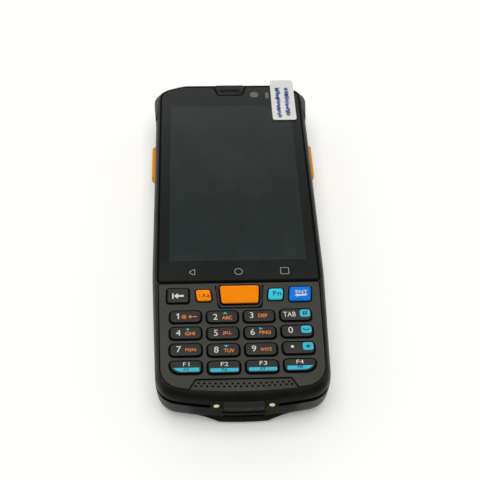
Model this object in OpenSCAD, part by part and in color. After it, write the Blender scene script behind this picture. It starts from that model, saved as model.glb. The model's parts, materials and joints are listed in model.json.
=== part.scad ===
// Handheld barcode data terminal with a 25-key pad, lying face up on its back.
// The modules measure y from the foot end of the body and z from the resting face.
// from_foot() then moves them so that the origin is under the middle of the whole part.

/* [Body] */
// Rim of the body beside the glass
side_rim = 2.25; // [2:0.05:3]
// Rim of the body past the upper end of the glass
head_rim = 2.35; // [2.2:0.05:3]
// How much narrower the body is at the foot
foot_taper = 4; // [3:0.1:5]
// How far above the keypad the sides start to narrow
hip_above = 5.4; // [0:0.1:12]
// Thickness of the side walls
wall = 1.9; // [1.7:0.1:2.2]
// Radius of the bowed foot edge
foot_r = 115; // [100:5:200]
// Radius of the corners at the foot
foot_corner_r = 9; // [7:0.5:11]
// How far the lower housing stands past the upper one at the foot
foot_step = 0.6; // [0.3:0.1:0.8]
// Depth of the upper housing below the glass
front_h = 5.1; // [4.9:0.1:5.3]
// Height of the side undersides above the resting face
shelf_z = 2.6; // [2.2:0.1:3]
// Thickness of the floor of the lower housing
floor_t = 1.6; // [1.3:0.1:1.8]
// Thickness of the corner bumpers
bumper_t = 0.8; // [0.5:0.1:1.2]
// Length of the corner bumpers
bumper_l = 22.8; // [19:0.1:26]

/* [Hump] */
// Width of the hump beside the battery bay
hump_side = 6.5; // [6:0.1:7]
// Width of the hump's plan just past the foot
hump_foot_w = 18.5; // [17:0.5:22]
// Width of the hump at the head
hump_head_w = 38; // [36:0.5:39.5]
// Distance from the foot at which the hump reaches its full width
hump_y = 22; // [20:1:26]
// How far the hump's sides slope in down to the resting face
hump_slope = 5.2; // [4:0.1:6]

/* [Screen] */
// Width of the picture area
screen_w = 51.84; // [50:0.01:52.5]
// Length of the picture area
screen_l = 86.4; // [84:0.1:87]
// Border of the display module around its picture area
module_border = 2; // [1.5:0.1:2.4]
// Thickness of the display module
module_t = 2.6; // [2.2:0.1:2.8]
// Border of the glass beside the picture area
side_border = 4.13; // [3.8:0.01:4.5]
// Border of the glass below the picture area
foot_border = 9.9; // [9:0.1:11]
// Border of the glass above the picture area
head_border = 12.45; // [12:0.05:14]
// Thickness of the cover glass
glass_t = 0.8; // [0.6:0.1:1]
// Gap around the glass
glass_gap = 0.45; // [0.2:0.05:0.5]
// Thickness of the protective film
film_t = 0.1; // [0.05:0.05:0.2]
// Width of the film's pull tab
tab_w = 10.2; // [8:0.1:11]
// Length of the pull tab that lies on the glass
tab_l = 24.6; // [20:0.1:30]
// How far the pull tab reaches past the head
tab_over = 1.6; // [1:0.1:2.5]
// Distance of the pull tab from the side of the glass
tab_from_side = 1.95; // [1:0.05:4]

/* [Earpiece and sensors] */
// Width of the earpiece cover at the rim
ear_w = 14.1; // [13:0.1:15]
// Width of the earpiece cover at its lower edge
ear_foot_w = 10; // [9:0.1:11]
// Length of the earpiece cover
ear_l = 6.3; // [5.5:0.1:6.5]
// Width of the earpiece slot
ear_slot_w = 8.7; // [7:0.1:9]
// Sideways distance of the front camera from the middle
camera_x = 10.6; // [10.3:0.1:11.2]
// Sideways distance of the light sensor from the middle
sensor_x = 16.2; // [16:0.1:17]
// Distance of the front camera from the head
camera_from_head = 7.4; // [7.2:0.1:7.6]

/* [Keypad] */
// Thickness of the keypad fascia
fascia_t = 1.2; // [1:0.1:1.3]
// Distance of the fascia's bowed edge from the foot
fascia_y = 3.05; // [2.9:0.05:3.3]
// How much narrower the fascia is at its lower end
fascia_taper = 2.6; // [2:0.1:3.2]
// Margin of the fascia beside the number keys
key_margin = 4.55; // [4.2:0.05:5]
// Length of a number key
key_l = 5.1; // [4.6:0.1:5.4]
// Corner radius of the number keys
key_r = 1.5; // [0.8:0.1:2]
// Space between the columns of number keys
column_space = 2.1; // [1.9:0.05:2.6]
// Space between the rows of number keys
row_space = 2.03; // [1.9:0.01:2.4]
// Distance from the fascia's bowed edge to the middle of the lowest row of keys
key_row_y = 9.75; // [9.5:0.05:10.5]
// How far the inner columns sit below the outer ones
key_smile = 0.3; // [0:0.05:0.4]
// Distance from the upper number keys to the middle of the top row of keys
top_row_up = 9.51; // [9.3:0.01:10]
// Distance from the middle of the top row to the upper end of the fascia
top_margin = 5.9; // [5.6:0.05:6.5]
// Width of the backspace and enter keys
outer_key_w = 7.9; // [7:0.1:8.4]
// Width of the shift and fn keys
small_key_w = 5.3; // [4.8:0.1:5.6]
// Gap between a key and its opening
key_gap = 0.3; // [0.2:0.05:0.35]
// Height of the key tops above the glass
key_rise = 0.4; // [0.2:0.1:0.6]
// Travel of the keys
key_travel = 0.45; // [0.3:0.05:0.5]
// How far the flange under a key reaches past its opening
flange_reach = 0.35; // [0.3:0.05:0.4]
// Length of the scan key
scan_l = 8.1; // [7.5:0.1:8.3]
// Diameter of the speaker holes
hole_d = 0.8; // [0.6:0.05:1]
// Distance between the speaker holes
hole_pitch = 1.93; // [1.8:0.01:1.95]

/* [Side keys] */
// Length of a side scan key
side_key_l = 19; // [16:0.5:20]
// Height of a side scan key
side_key_h = 3.2; // [2.8:0.1:3.4]
// How far a side scan key stands out of the wall
side_key_out = 0.9; // [0.7:0.1:1.2]
// Distance from the head to the middle of the side scan keys
side_key_down = 42.6; // [41:0.1:44]
// Travel of the side and power keys
side_travel = 0.4; // [0.3:0.05:0.45]
// Length of the power key
power_l = 7; // [6:0.1:7.5]

/* [Foot] */
// Width of the charging port cover
port_w = 14.4; // [13.6:0.1:15]
// Height of the charging port cover
port_h = 6.8; // [6.5:0.1:7]
// Height of the port cover's lower edge above the resting face
port_z = 7.2; // [7:0.1:7.4]
// Thickness of the port cover
port_t = 1.6; // [1.4:0.1:1.8]
// Diameter of the charging contacts
contact_d = 2; // [1.6:0.1:2.2]
// Sideways distance of the charging contacts from the middle
contact_x = 9.5; // [9.3:0.1:9.8]
// Height of the charging contacts above the resting face
contact_z = 11.7; // [11:0.1:12]
// Width of the strap slot
strap_w = 14; // [12:0.5:15]
// Height of the strap slot
strap_h = 1.7; // [1.5:0.1:2.1]
// Height of the strap slot's lower edge above the resting face
strap_z = 3.7; // [3.4:0.1:3.9]
// Thickness of the strap bar
strap_bar_t = 3; // [2.5:0.1:3.4]
// Height of the open groove between the housings at the foot
groove_h = 0.9; // [0.6:0.1:1.2]
// Depth of the groove at the foot, from the upper housing's outline
groove_t = 0.9; // [0.7:0.1:1]

/* [Battery] */
// Thickness of the battery cover
cover_t = 1.5; // [1.3:0.1:1.7]
// Distance from the foot to the battery cover's hinge line
hinge_y = 25.4; // [25:0.1:28]
// Height of the battery cover's hinge line above the resting face
hinge_z = 1.7; // [1.6:0.05:1.9]
// Diameter of the cover's hinge pins
hinge_pin_d = 1.4; // [1.2:0.1:1.6]
// Width of the battery
battery_w = 41; // [38:0.5:42]
// Length of the battery
battery_l = 66; // [60:0.5:66.5]
// Thickness of the battery
battery_t = 5.1; // [4.6:0.1:5.2]
// Width of the latch
latch_w = 9.6; // [8:0.1:11]
// Travel of the latch
latch_travel = 2.2; // [1.8:0.1:2.4]

/* [Scanning] */
// Width of the scan engine
engine_w = 21; // [20:0.5:22]
// Length of the scan engine
engine_l = 14.2; // [13:0.1:14.5]
// Height of the scan engine
engine_h = 6.8; // [6:0.1:6.9]

/* [Hidden] */
top_names = ["backspace", "shift", "scan", "fn", "enter"];
// Names of the number keys, from the lowest row up
number_names = [["f1", "f2", "f3", "f4"], ["7", "8", "9", "dot"], ["4", "5", "6", "0"],
                ["1", "2", "3", "tab"]];

$fn = 48;
eps = 0.01;
far = 400;                 // longer than anything it has to reach across

plastic = [0.10, 0.10, 0.10];
fascia_grey = [0.25, 0.25, 0.23];
key_grey = [0.18, 0.17, 0.16];
orange = [0.96, 0.53, 0.05];
cyan = [0.16, 0.66, 0.78];
blue = [0.08, 0.45, 0.85];
rubber_black = [0.07, 0.07, 0.07];
glass_black = [0.13, 0.14, 0.14];
gold = [0.85, 0.72, 0.42];
steel = [0.70, 0.71, 0.72];
board_green = [0.05, 0.30, 0.18];

// Clearances
fit = 0.15;                             // between pieces that are fixed
slide_gap = 0.2;                        // between pieces that slide
pin_gap = 0.05;                         // around a turning pin

// Heights, stacked up from the battery to the glass
board_t = 1;
can_h = 1.7;
roof_t = 1.2;                           // roof of the battery bay, which carries the main board
bay_top = cover_t + battery_t + 0.6;
deck_z = bay_top + roof_t;
module_z = deck_z + board_t + can_h + 1.8;      // underside of the display module
glass_z = module_z + module_t;
body_h = glass_z + glass_t;
plate_z = body_h - 2.8;                 // underside of the plate that carries the glass and the fascia
seam_z = body_h - front_h;
fascia_z = body_h - 0.2 - fascia_t;
fascia_top = fascia_z + fascia_t;
key_top = body_h + key_rise;
scan_top = key_top + 0.3;
floor_z = shelf_z + floor_t;

// Widths, from the picture area out to the body and in to the keys
glass_w = screen_w + 2 * side_border;
body_w = glass_w + 2 * side_rim;
foot_w = body_w - foot_taper;
fascia_w = glass_w - 0.3;
fascia_foot_w = fascia_w - fascia_taper;
key_pitch_x = (fascia_w - 2 * key_margin + column_space) / 4;
key_w = key_pitch_x - column_space;
outer_key_x = fascia_w / 2 - 3.4 - outer_key_w / 2;
small_key_x = outer_key_x - outer_key_w / 2 - 2.45 - small_key_w / 2;
scan_w = 2 * (small_key_x - small_key_w / 2 - 3.6);

// Lengths, from the foot up to the head
row_y = fascia_y + key_row_y;           // lowest row of keys
key_pitch_y = key_l + row_space;
top_row_y = row_y + 3 * key_pitch_y + top_row_up;
fascia_end = top_row_y + top_margin;
glass_y = fascia_end + 0.6;
screen_y = glass_y + foot_border;       // lower edge of the picture area
glass_end = screen_y + screen_l + head_border;
body_l = glass_end + head_rim;
hip_y = fascia_end + hip_above;
bumper_y = body_l - bumper_l;
side_key_y = body_l - side_key_down;

// Plan of the body
foot_angle = 10;                        // slope of the foot edge where it meets the corners
foot_tip = -foot_r * (1 / cos(foot_angle) - 1);
function foot_line(x) = foot_tip + x * tan(foot_angle);
function foot_edge(x) = foot_r - sqrt(foot_r * foot_r - x * x);

// Corners of the body's plan, each as [x, y, radius, steps], from the foot round to the head
body_side = [
    [foot_w / 2, foot_line(foot_w / 2), foot_corner_r, 7],
    [body_w / 2, hip_y, 40, 1],
    [body_w / 2, body_l - 9.3, 5, 4],
    [body_w / 2 - 3.4, body_l - 4.7, 6, 4],
    [body_w / 2 - 12.1, body_l, 3, 3]];
body_plan = mirrored([0, foot_tip, foot_r, 8], body_side);
// The lower housing's plan, which stands further out at the foot
rear_plan = let (corner = body_side[0], last = len(body_side) - 1)
    mirrored([0, foot_tip - foot_step, foot_r, 8],
             concat([[corner[0], corner[1] - foot_step, corner[2], corner[3]]],
                    [for (i = [1:last]) body_side[i]]));

bumper_side = [
    [foot_w / 2, foot_line(foot_w / 2), foot_corner_r, 7],
    [body_w / 2, bumper_y, 0.5, 1],
    [body_w / 2 + bumper_t, bumper_y + 11.5, 1.5, 2],
    [body_w / 2 + bumper_t, body_l - 9.1, 5, 4],
    [body_w / 2 - 2.8, body_l - 4.2, 6, 4],
    [body_w / 2 - 11.5, body_l - 0.25, 3, 3]];

cover_w = battery_w + 2.6;
bay_w = cover_w + 2 * slide_gap;
hump_w = bay_w + 2 * hump_side;
hump_past = 4;             // how far the hump's plan runs past the foot, where the foot edge cuts it
function hump_plan(side, head) = even_plan([
    [hump_foot_w / 2 - side, -hump_past, 1, 2],
    [hump_w / 2 - side, hump_y, 14, 3],
    [hump_w / 2 - side, body_l - 49, 40, 2],
    [hump_head_w / 2 - side, body_l - head, 2.5, 3]]);

glass_side = [
    [glass_w / 2, glass_y, 1, 2],
    [glass_w / 2, glass_end - 5.35, 3, 4],
    [glass_w / 2 - 2.55, glass_end - 2.35, 5, 4],
    [glass_w / 2 - 9, glass_end, 10, 4]];
glass_plan = even_plan(glass_side);

fascia_r = 160;
fascia_angle = 6.3;
fascia_tip = fascia_y - fascia_r * (1 / cos(fascia_angle) - 1);
fascia_side = [
    [fascia_foot_w / 2, fascia_tip + fascia_foot_w / 2 * tan(fascia_angle), 8.5, 6],
    [fascia_w / 2, fascia_end, 0.6, 2]];
fascia_plan = mirrored([0, fascia_tip, fascia_r, 6], fascia_side);

// Screen
module_w = screen_w + 2 * module_border;
module_l = screen_l + 2 * module_border + 2;
module_y = screen_y - module_border - 2;
tab_x = glass_w / 2 - tab_w / 2 - tab_from_side;
ear_y = glass_end + 1.1 - ear_l;               // lower edge of the earpiece cover
ear_slot_l = 2.2;
ear_slot_mid = ear_y + 1.1 + ear_slot_l / 2;   // distance of the slot's middle from the foot
sound_w = 7;                                   // sound opening under the slot
sound_l = 1.6;
camera_y = body_l - camera_from_head;

// Keys
number_columns = [-1.5, -0.5, 0.5, 1.5];
outer_key_l = 6.6;                             // length of the backspace and enter keys
small_key_l = 5.2;                             // length of the shift and fn keys
pad_w = fascia_w - 4.8;                        // width of the opening, the mat and the board under the fascia
pad_y = row_y - key_l / 2 - key_gap - flange_reach - 0.4;
pad_top = top_row_y + 4.9;
flange_t = 0.7;
flange_top = fascia_z - slide_gap;
mat_z = plate_z - 1.6;
board_z = mat_z - board_t;
stem_r = 1.6;
well_r = 2.6;
dome_t = 0.5;
stem_z = mat_z + dome_t + key_travel + 0.1;

// Fascia
groove_ring = 0.5;                             // width of the groove round the scan key
groove_depth = 0.35;
grille_y = fascia_y + 3.2;                     // distance of the upper row of speaker holes from the foot
grille_step = 1.15;
grille_holes = 17;                             // holes in the upper row; the lower row has one more
grille_w = grille_holes * hole_pitch;
grille_depth = 0.3;

// Battery
barrel_r = hinge_z;
hinge_pin_l = 1.5;
battery_y = hinge_y + barrel_r + 3.6;
pad_spots = [-4.5, -1.5, 1.5, 4.5];            // battery contacts, from the middle
terminal_w = 13;
terminal_h = 3;
latch_y = battery_y + battery_l + 1.1;
latch_l = 3.4;
rail_l = 5.6;                                  // from the latch's foot end to the end of the cover
cover_l = latch_y + rail_l - hinge_y;
bay_y = hinge_y - barrel_r - fit;
bay_end = hinge_y + cover_l + slide_gap;
bay_wall = 2.5;
latch_z = cover_t + 0.1;
latch_t = 0.8;
tongue_w = latch_w - 3;

// Scanning
window_w = engine_w + 3;
window_h = engine_h - 1;
window_t = 1.2;
window_y = body_l - window_t - 0.2;            // seat of the window
window_ledge = 1.2;                            // ledge behind the window's sides
window_wall = 2.5;                             // housing beside the window
engine_z = floor_z - 0.6;
window_z = engine_z + 0.5;
engine_y = body_l - wall - 0.3 - engine_l;
pocket_z = 1.8;                                // floor under the rear camera
pocket_y = body_l - 43;
pocket_w = 26;
pocket_l = 21.5;
camera_back = [-6.5, body_l - 35];
lens_r = 4.35;                                 // cover lens of the rear camera
lens_barrel_r = 3.1;                           // its barrel
flash_back = [3.5, body_l - 35];
power_x = window_w / 2 + 5;

// Foot
port_axis_r = 1;                               // round lower edge of the port cover
port_axis_y = 0.8;
port_axis_z = port_z + 1.1;
pivot_r = 0.5;
pivot_l = 0.9;
port_r = 1.3;
block_w = port_w + 9;                          // raised middle of the foot
block_l = 4.2;
block_top = port_z + port_h + 0.3;
block_gap = 0.1;
scoop_t = 0.75;                                // depth of the fingernail scoop
scoop_lean = 0.8;                              // how much narrower the scoop is at its top
socket_w = 9;
socket_h = 3.2;
socket_l = 6.5;
socket_y = 3.2;
socket_z = port_z + 3.5;
port_board_z = socket_z - socket_h / 2 - board_t;
port_board_l = 8.4;
port_shelf_l = port_board_l + 1.1;             // shelf that carries the port board

strap_well_l = 5.4;
groove_well = 1.6;                             // depth of the channel below the groove
groove_lip = 0.5;                              // thickness of the lip in front of the channel
groove_end = 8.5;

// Side keys
side_key_z = seam_z - 2.7;
side_flange = 1;
side_flange_t = 0.8;
power_h = 2.8;
power_z = seam_z - 1.1 - power_h / 2;

side_flange_x = body_w / 2 - wall - slide_gap - side_flange_t;
power_flange_y = body_l - wall - slide_gap - side_flange_t;
switch_l = 2.2;
switch_w = 6;
switch_h = 1.6;
switch_gap = side_travel + 0.1;

// Boards
board_y = glass_y + 0.3;
board_end = engine_y - 4.5;
board_w = body_w - 2 * wall - 5;
can_margin = 3.9;                              // bare board beside the cans
can_space = 2;                                 // between the two cans
can_split = 5;                                 // where the cans part, from the middle
foot_can_l = 30;
foot_can_up = 20;                              // from the board's lower end
head_can_l = 24;
head_can_down = 33.9;                          // from the board's upper end

// Screws, as [x, y]
screw_spots = [[foot_w / 2 - 6.8, 7.6], [body_w / 2 - 5, glass_y + 2.1], [body_w / 2 - 8.3, body_l - 8.8]];
screw_r = 1;
boss_r = 2;
column_r = 3.2;
screw_seat_z = floor_z + 0.2;
screw_top = plate_z - 0.7;
column_z = floor_z + 1.8;

speaker_w = 13.4;
speaker_l = 4.6;
speaker_h = 3.6;
speaker_gap = 0.6;                             // between the loudspeaker and the boss beside it
motor_r = 4;
motor_h = 2.7;
motor_from_side = 12.3;
motor_from_head = 15;

gasket_w = 0.65;
gasket_t = 0.5;
gasket_in = 1.05;                              // distance of the gasket's outer side from the body's outline

// ---- Outlines ----

function unit(v) = v / norm(v);

// A plan from its right-hand corners, mirrored round to the left
function mirrored(tip, side) = concat([tip], even_plan(side));

// A plan with a straight edge across its lower end, from its right-hand corners
function even_plan(side) =
    concat(side, [for (i = [len(side) - 1:-1:0]) [-side[i][0], side[i][1], side[i][2], side[i][3]]]);

// A four-cornered plan, widths given at its upper and lower ends
function tapered(top_w, foot_w, y0, y1, r, steps = 4) =
    [[-foot_w / 2, y0, r, steps], [foot_w / 2, y0, r, steps],
     [top_w / 2, y1, r, steps], [-top_w / 2, y1, r, steps]];

// The corner p between a and b, moved into the shape by the distance inset
function moved_corner(a, p, b, inset) =
    let (u = unit(a - p), v = unit(b - p), inward = sign(v[0] * u[1] - v[1] * u[0]))
    p + inward * unit(u + v) * inset / sqrt((1 - u * v) / 2);

// The corner p between a and b, rounded
function corner_arc(a, p, b, r, steps) =
    let (u = unit(a - p), v = unit(b - p),
         half = acos(u * v) / 2,
         centre = p + unit(u + v) * r / sin(half),
         from = p + u * r / tan(half) - centre,
         to = p + v * r / tan(half) - centre,
         start = atan2(from[1], from[0]),
         turn = atan2(from[0] * to[1] - from[1] * to[0], from * to))
    [for (i = [0:steps]) centre + r * [cos(start + turn * i / steps), sin(start + turn * i / steps)]];

// The points of a plan, set in by the distance inset
function outline(plan, inset = 0) =
    let (n = len(plan),
         flat = [for (c = plan) [c[0], c[1]]],
         moved = [for (i = [0:n - 1])
             moved_corner(flat[(i + n - 1) % n], flat[i], flat[(i + 1) % n], inset)])
    [for (i = [0:n - 1])
        each corner_arc(moved[(i + n - 1) % n], moved[i], moved[(i + 1) % n],
                        max(plan[i][2] - inset, 0.2), plan[i][3])];

// A solid through rings of points, each ring given as [z, points]
module loft(rings) {
    n = len(rings[0][1]);
    last = len(rings) - 1;
    polyhedron(
        points = [for (ring = rings) for (p = ring[1]) [p[0], p[1], ring[0]]],
        faces = concat(
            [[for (i = [0:n - 1]) i]],
            [[for (i = [n - 1:-1:0]) last * n + i]],
            [for (k = [0:last - 1]) for (i = [0:n - 1])
                [k * n + i, (k + 1) * n + i, (k + 1) * n + (i + 1) % n, k * n + (i + 1) % n]]));
}

module prism(points, z0, z1) {
    translate([0, 0, z0]) linear_extrude(z1 - z0) polygon(points);
}

// A box given by its middle in x and its lowest corner in y and z
module block(w, l, h, x = 0, y = 0, z = 0) {
    translate([x - w / 2, y, z]) cube([w, l, h]);
}

module round_rect(w, l, r) {
    square([w - 2 * r, l], center = true);
    square([w, l - 2 * r], center = true);
    for (x = [-1, 1], y = [-1, 1]) translate([x * (w / 2 - r), y * (l / 2 - r)]) circle(r);
}

module slab(w, l, r, z0, z1, x = 0, y = 0) {
    translate([x, y, z0]) linear_extrude(z1 - z0) round_rect(w, l, r);
}

module peg(r, z0, z1, x = 0, y = 0) {
    translate([x, y, z0]) cylinder(r = r, h = z1 - z0);
}

// A cylinder along x, and one along y
module bar_x(r, l, x, y, z) {
    translate([x, y, z]) rotate([0, 90, 0]) cylinder(r = r, h = l);
}
module bar_y(r, l, x, y, z) {
    translate([x, y, z]) rotate([-90, 0, 0]) cylinder(r = r, h = l);
}

module both_sides() {
    children();
    mirror([1, 0, 0]) children();
}

module at_screws() {
    both_sides() for (s = screw_spots) translate([s[0], s[1], 0]) children();
}

module from_foot() {
    translate([0, -(body_l + tab_over - foot_step) / 2, 0]) children();
}

// ---- Housings ----

// Skins, as rings of [height, distance in from the plan]
front_skin = [[seam_z, 0.1], [seam_z + 0.4, 0], [body_h - 2.4, 0.12], [body_h - 1.3, 0.4], [body_h - 0.5, 1],
              [body_h, 2.15]];
rear_skin = [[shelf_z, 2.4], [shelf_z + 0.4, 1.5], [shelf_z + 1.3, 0.8], [shelf_z + 3, 0.45], [seam_z, 0.1]];
// Skin of the hump, as rings of [height, distance in from its plan at the sides, and at the head]
hump_skin = [[0, hump_slope + 0.4, 5.2], [0.25, hump_slope, 4.4], [shelf_z * 0.4, hump_slope * 0.74, 3.2],
             [shelf_z * 0.75, hump_slope * 0.52, 2.2], [shelf_z, hump_slope * 0.27, 1.2],
             [shelf_z + 0.6, -0.5, 0.4], [shelf_z + 1, -3, 0.2], [shelf_z + 1.3, -6, 0.2]];
// Rounding of the foot where it meets the resting face
toe_skin = [[-1, 2.5], [0.4, 0.7], [1.3, 0.25], [shelf_z, 0.35], [shelf_z + 1.3, 1.2], [shelf_z + 1.4, 1.3]];

module front_housing() color(plastic) difference() {
    union() {
        difference() {
            loft([for (s = front_skin) [s[0], outline(body_plan, s[1])]]);
            prism(outline(body_plan, wall), seam_z - 1, plate_z);
        }
        at_screws() peg(boss_r, column_z, plate_z + 0.5);
    }
    at_screws() peg(screw_r + pin_gap, column_z - 1, screw_top + 0.2);
    glass_seat();
    prism(outline(fascia_plan, -fit), fascia_z, body_h + 1);
    slab(pad_w, pad_top - pad_y, 3, plate_z - 1, body_h, 0, (pad_top + pad_y) / 2);
    slab(module_w + 2 * fit, module_l + 2 * fit, 0.5, plate_z - 1, body_h, 0, module_y + module_l / 2);
    // openings for the receiver, the front camera and the light sensor
    slab(sound_w, sound_l, 0.7, plate_z - 1, body_h, 0, ear_slot_mid);
    peg(2.7, plate_z - 1, body_h, camera_x, camera_y);
    slab(2.4, 4.4, 0.4, plate_z - 1, body_h, sensor_x, camera_y - 0.6);
    // sound channel under the speaker holes
    slab((grille_holes + 2) * hole_pitch, 1.8, 0.8, plate_z - 1, body_h, 0, grille_y - grille_step / 2);
    // room for the raised middle of the lower housing, and the fingernail scoop over the port
    block(block_w + 2 * block_gap, block_l + 1 + block_gap, block_top + block_gap, 0, -1, 0);
    scoop();
}

module glass_seat() {
    prism(outline(glass_plan, -glass_gap), glass_z, body_h + 1);
    // wider along the head, where the dark gap is
    slab(glass_w - 19, 4, 0.3, glass_z, body_h + 1, 0, glass_end - 0.9);
}

// The dark channel between the housings, deepest along the foot and running out round the corners
module foot_groove() {
    difference() {
        union() {
            block(far, groove_end + 2, groove_h, 0, -2, seam_z - groove_h);
            prism(outline(rear_plan, groove_lip), seam_z - groove_h - groove_well, seam_z);
        }
        translate([0, groove_t, 0]) prism(outline(body_plan, 0.05), 0, far);
        block(block_w, 8, far, 0, -2, 0);
        block(far, far, far, 0, groove_end, 0);
    }
    // its rounded ends beside the raised middle
    both_sides() peg(groove_h / 2, seam_z - groove_h - groove_well, seam_z, block_w / 2, -foot_step);
}

// A small facet over the port, for a fingernail under the port cover
module scoop() {
    z = block_top + block_gap;
    side = port_w / 2;
    intersection() {
        translate([-side, 0, 0]) rotate([90, 0, 90]) linear_extrude(port_w)
            polygon([[-2, z], [0.1, z], [scoop_t, z + 0.3], [scoop_t, far], [-2, far]]);
        translate([0, 5, 0]) rotate([90, 0, 0]) linear_extrude(10)
            polygon([[-side, z - 1], [side, z - 1],
                     [side - scoop_lean, body_h], [scoop_lean - side, body_h]]);
    }
}

module rear_shell() {
    loft([for (s = rear_skin) [s[0], outline(rear_plan, s[1])]]);
    intersection() {
        loft([for (s = hump_skin) [s[0], outline(hump_plan(s[1], s[2]))]]);
        loft([for (s = toe_skin) [s[0], outline(rear_plan, s[1])]]);
    }
}

// The foot's end face, which leans in over the step up to the upper housing
module foot_face(inset) {
    loft([
        [shelf_z + 1.3, outline(rear_plan, inset + 1)],
        [seam_z - 0.4, outline(rear_plan, inset + 0.15)],
        [block_top, outline(rear_plan, inset + foot_step - 0.05)],
        [body_h, outline(rear_plan, inset + foot_step + 0.4)]]);
}

module rear_housing() color(plastic) difference() {
    union() {
        difference() {
            rear_shell();
            prism(outline(body_plan, wall), floor_z, far);
            // room under the main board for the rear camera
            slab(pocket_w, pocket_l, 2, pocket_z, far, 0, pocket_y + pocket_l / 2);
        }
        // roof and walls of the battery bay
        block(bay_w + 2 * bay_wall, bay_end - bay_y + 2 * bay_wall, deck_z - shelf_z,
              0, bay_y - bay_wall, shelf_z);
        // raised middle of the foot, which holds the port and the contacts
        intersection() {
            foot_face(0);
            block(block_w, block_l + foot_step, block_top, 0, -foot_step, 0);
        }
        block(block_w, port_shelf_l, port_board_z - shelf_z - 1, 0, block_l - 1, shelf_z + 1);
        at_screws() peg(column_r, floor_z - 0.2, column_z);
        // walls that hold the scan window
        block(window_w + 2 * window_wall, 5, seam_z - shelf_z - 1, 0, body_l - 5, shelf_z + 1);
    }
    battery_bay();
    port_recess();
    foot_groove();
    strap_slot();
    scan_pocket();
    side_key_slots();
    at_screws() {
        peg(screw_r + 0.1, 0, column_z + 1);
        peg(1.95, -1, screw_seat_z);
    }
    // rear camera and flash
    translate([camera_back[0], camera_back[1], 0]) {
        peg(lens_r + fit, -1, 1);
        peg(lens_barrel_r + slide_gap, -1, pocket_z + 1);
    }
    peg(1.7, -1, pocket_z + 1, flash_back[0], flash_back[1]);
    // groove for the gasket
    difference() {
        prism(outline(body_plan, gasket_in), seam_z - gasket_t, seam_z + 1);
        prism(outline(body_plan, gasket_in + gasket_w), 0, far);
        block(block_w + 2, 12, far, 0, -4, 0);
    }
}

module battery_bay() {
    block(bay_w, bay_end - bay_y, bay_top + 1, 0, bay_y, -1);
    // bores for the cover's hinge pins
    bore_l = bay_w + 2 * hinge_pin_l + 2 * slide_gap;
    bar_x(hinge_pin_d / 2 + pin_gap, bore_l, -bore_l / 2, hinge_y, hinge_z);
    // pocket for the latch's tongue
    block(tongue_w + 2 * slide_gap, latch_travel + 0.6, latch_t + 2 * slide_gap,
          0, bay_end - eps, latch_z - slide_gap);
}

module port_recess() {
    // seat of the cover
    slab_y(port_w + 2 * slide_gap, port_h + 0.3, port_r - 0.4,
           -3, port_axis_y + port_axis_r + 0.1, port_z + port_h / 2);
    // bores for the cover's pivots
    bore_l = port_w + 2 * pivot_l + 2 * slide_gap;
    bar_x(pivot_r + pin_gap, bore_l, -bore_l / 2, port_axis_y, port_axis_z);
    // passage to the socket
    slab_y(socket_w + 1.2, socket_h + 1.4, 1.6, 0, block_l + 1, socket_z + 0.25);
    // bores for the charging contacts
    both_sides() bar_y(contact_d / 2 + 0.02, far, contact_x, -3, contact_z);
}

// A rounded plate that stands across y
module slab_y(w, h, r, y0, y1, z) {
    translate([0, y1, z]) rotate([90, 0, 0]) linear_extrude(y1 - y0) round_rect(w, h, r);
}

// A slot through the end face, and behind its bar a well through the back
module strap_slot() {
    slab_y(strap_w, strap_h, 0.7, -3, strap_bar_t + 1, strap_z + strap_h / 2);
    block(strap_w, strap_well_l, strap_z + strap_h + 1, 0, strap_bar_t - foot_step, -1);
}

module scan_pocket() {
    window_mid = window_z + window_h / 2;
    block(engine_w + 2 * slide_gap, engine_l + 0.6, far, 0, engine_y - 0.1, engine_z);
    slab_y(window_w + 2 * fit, window_h + 2 * fit, 1, window_y, body_l + 1, window_mid);
    slab_y(window_w - 2 * window_ledge, window_h - 1.6, 0.6, body_l - 4, body_l, window_mid);
    // power key
    translate([power_x, 0, 0]) {
        slab_y(power_l + 2 * slide_gap, power_h + 2 * slide_gap, 1, body_l - 6, body_l + 1, power_z);
        slab_y(power_l + 2 * side_flange + 2 * slide_gap, power_h + 1.6, 1,
               body_l - 6, body_l - wall, power_z);
    }
}

module side_key_slots() {
    both_sides() block(2 * wall + 2, side_key_l + 0.4, side_key_h + 0.4,
        body_w / 2 - wall / 2, side_key_y - side_key_l / 2 - 0.2, side_key_z - side_key_h / 2 - 0.2);
}

bumper_skin = [[seam_z - 4, 0.75], [seam_z - 2.4, 0.3], [seam_z, 0],
               [body_h - 1.4, 0.1], [body_h - 0.5, 0.55]];

module right_bumper() color(rubber_black) difference() {
    loft([for (s = bumper_skin) [s[0], outline(mirrored([0, foot_tip, foot_r, 8], bumper_side), s[1])]]);
    prism(outline(body_plan), 0, far);
    translate([-far, 0, 0]) block(2 * far, body_l + 5, far, 0, -1, 0);
    block(far, bumper_y + 0.3, far, 0, 0, 0);
}

module left_bumper() mirror([1, 0, 0]) right_bumper();

module seal_gasket() color(rubber_black) difference() {
    prism(outline(body_plan, gasket_in + 0.05), seam_z - gasket_t, seam_z);
    prism(outline(body_plan, gasket_in + gasket_w - 0.05), 0, far);
    block(block_w + 2.2, 12, far, 0, -4, 0);
}

module housing_screws() color(steel) at_screws() difference() {
    union() {
        peg(1.75, screw_seat_z - 1.1, screw_seat_z);
        peg(screw_r, screw_seat_z - eps, screw_top);
    }
    translate([0, 0, screw_seat_z - 1.2]) cylinder(d = 1.5, h = 0.7, $fn = 6);
}

// ---- Screen ----

module front_glass() color(glass_black) difference() {
    prism(outline(glass_plan), glass_z, body_h);
    prism(outline(ear_plan(), -glass_gap), 0, far);
}

function ear_plan() = tapered(ear_w, ear_foot_w, ear_y, ear_y + ear_l, 1.1);

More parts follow.
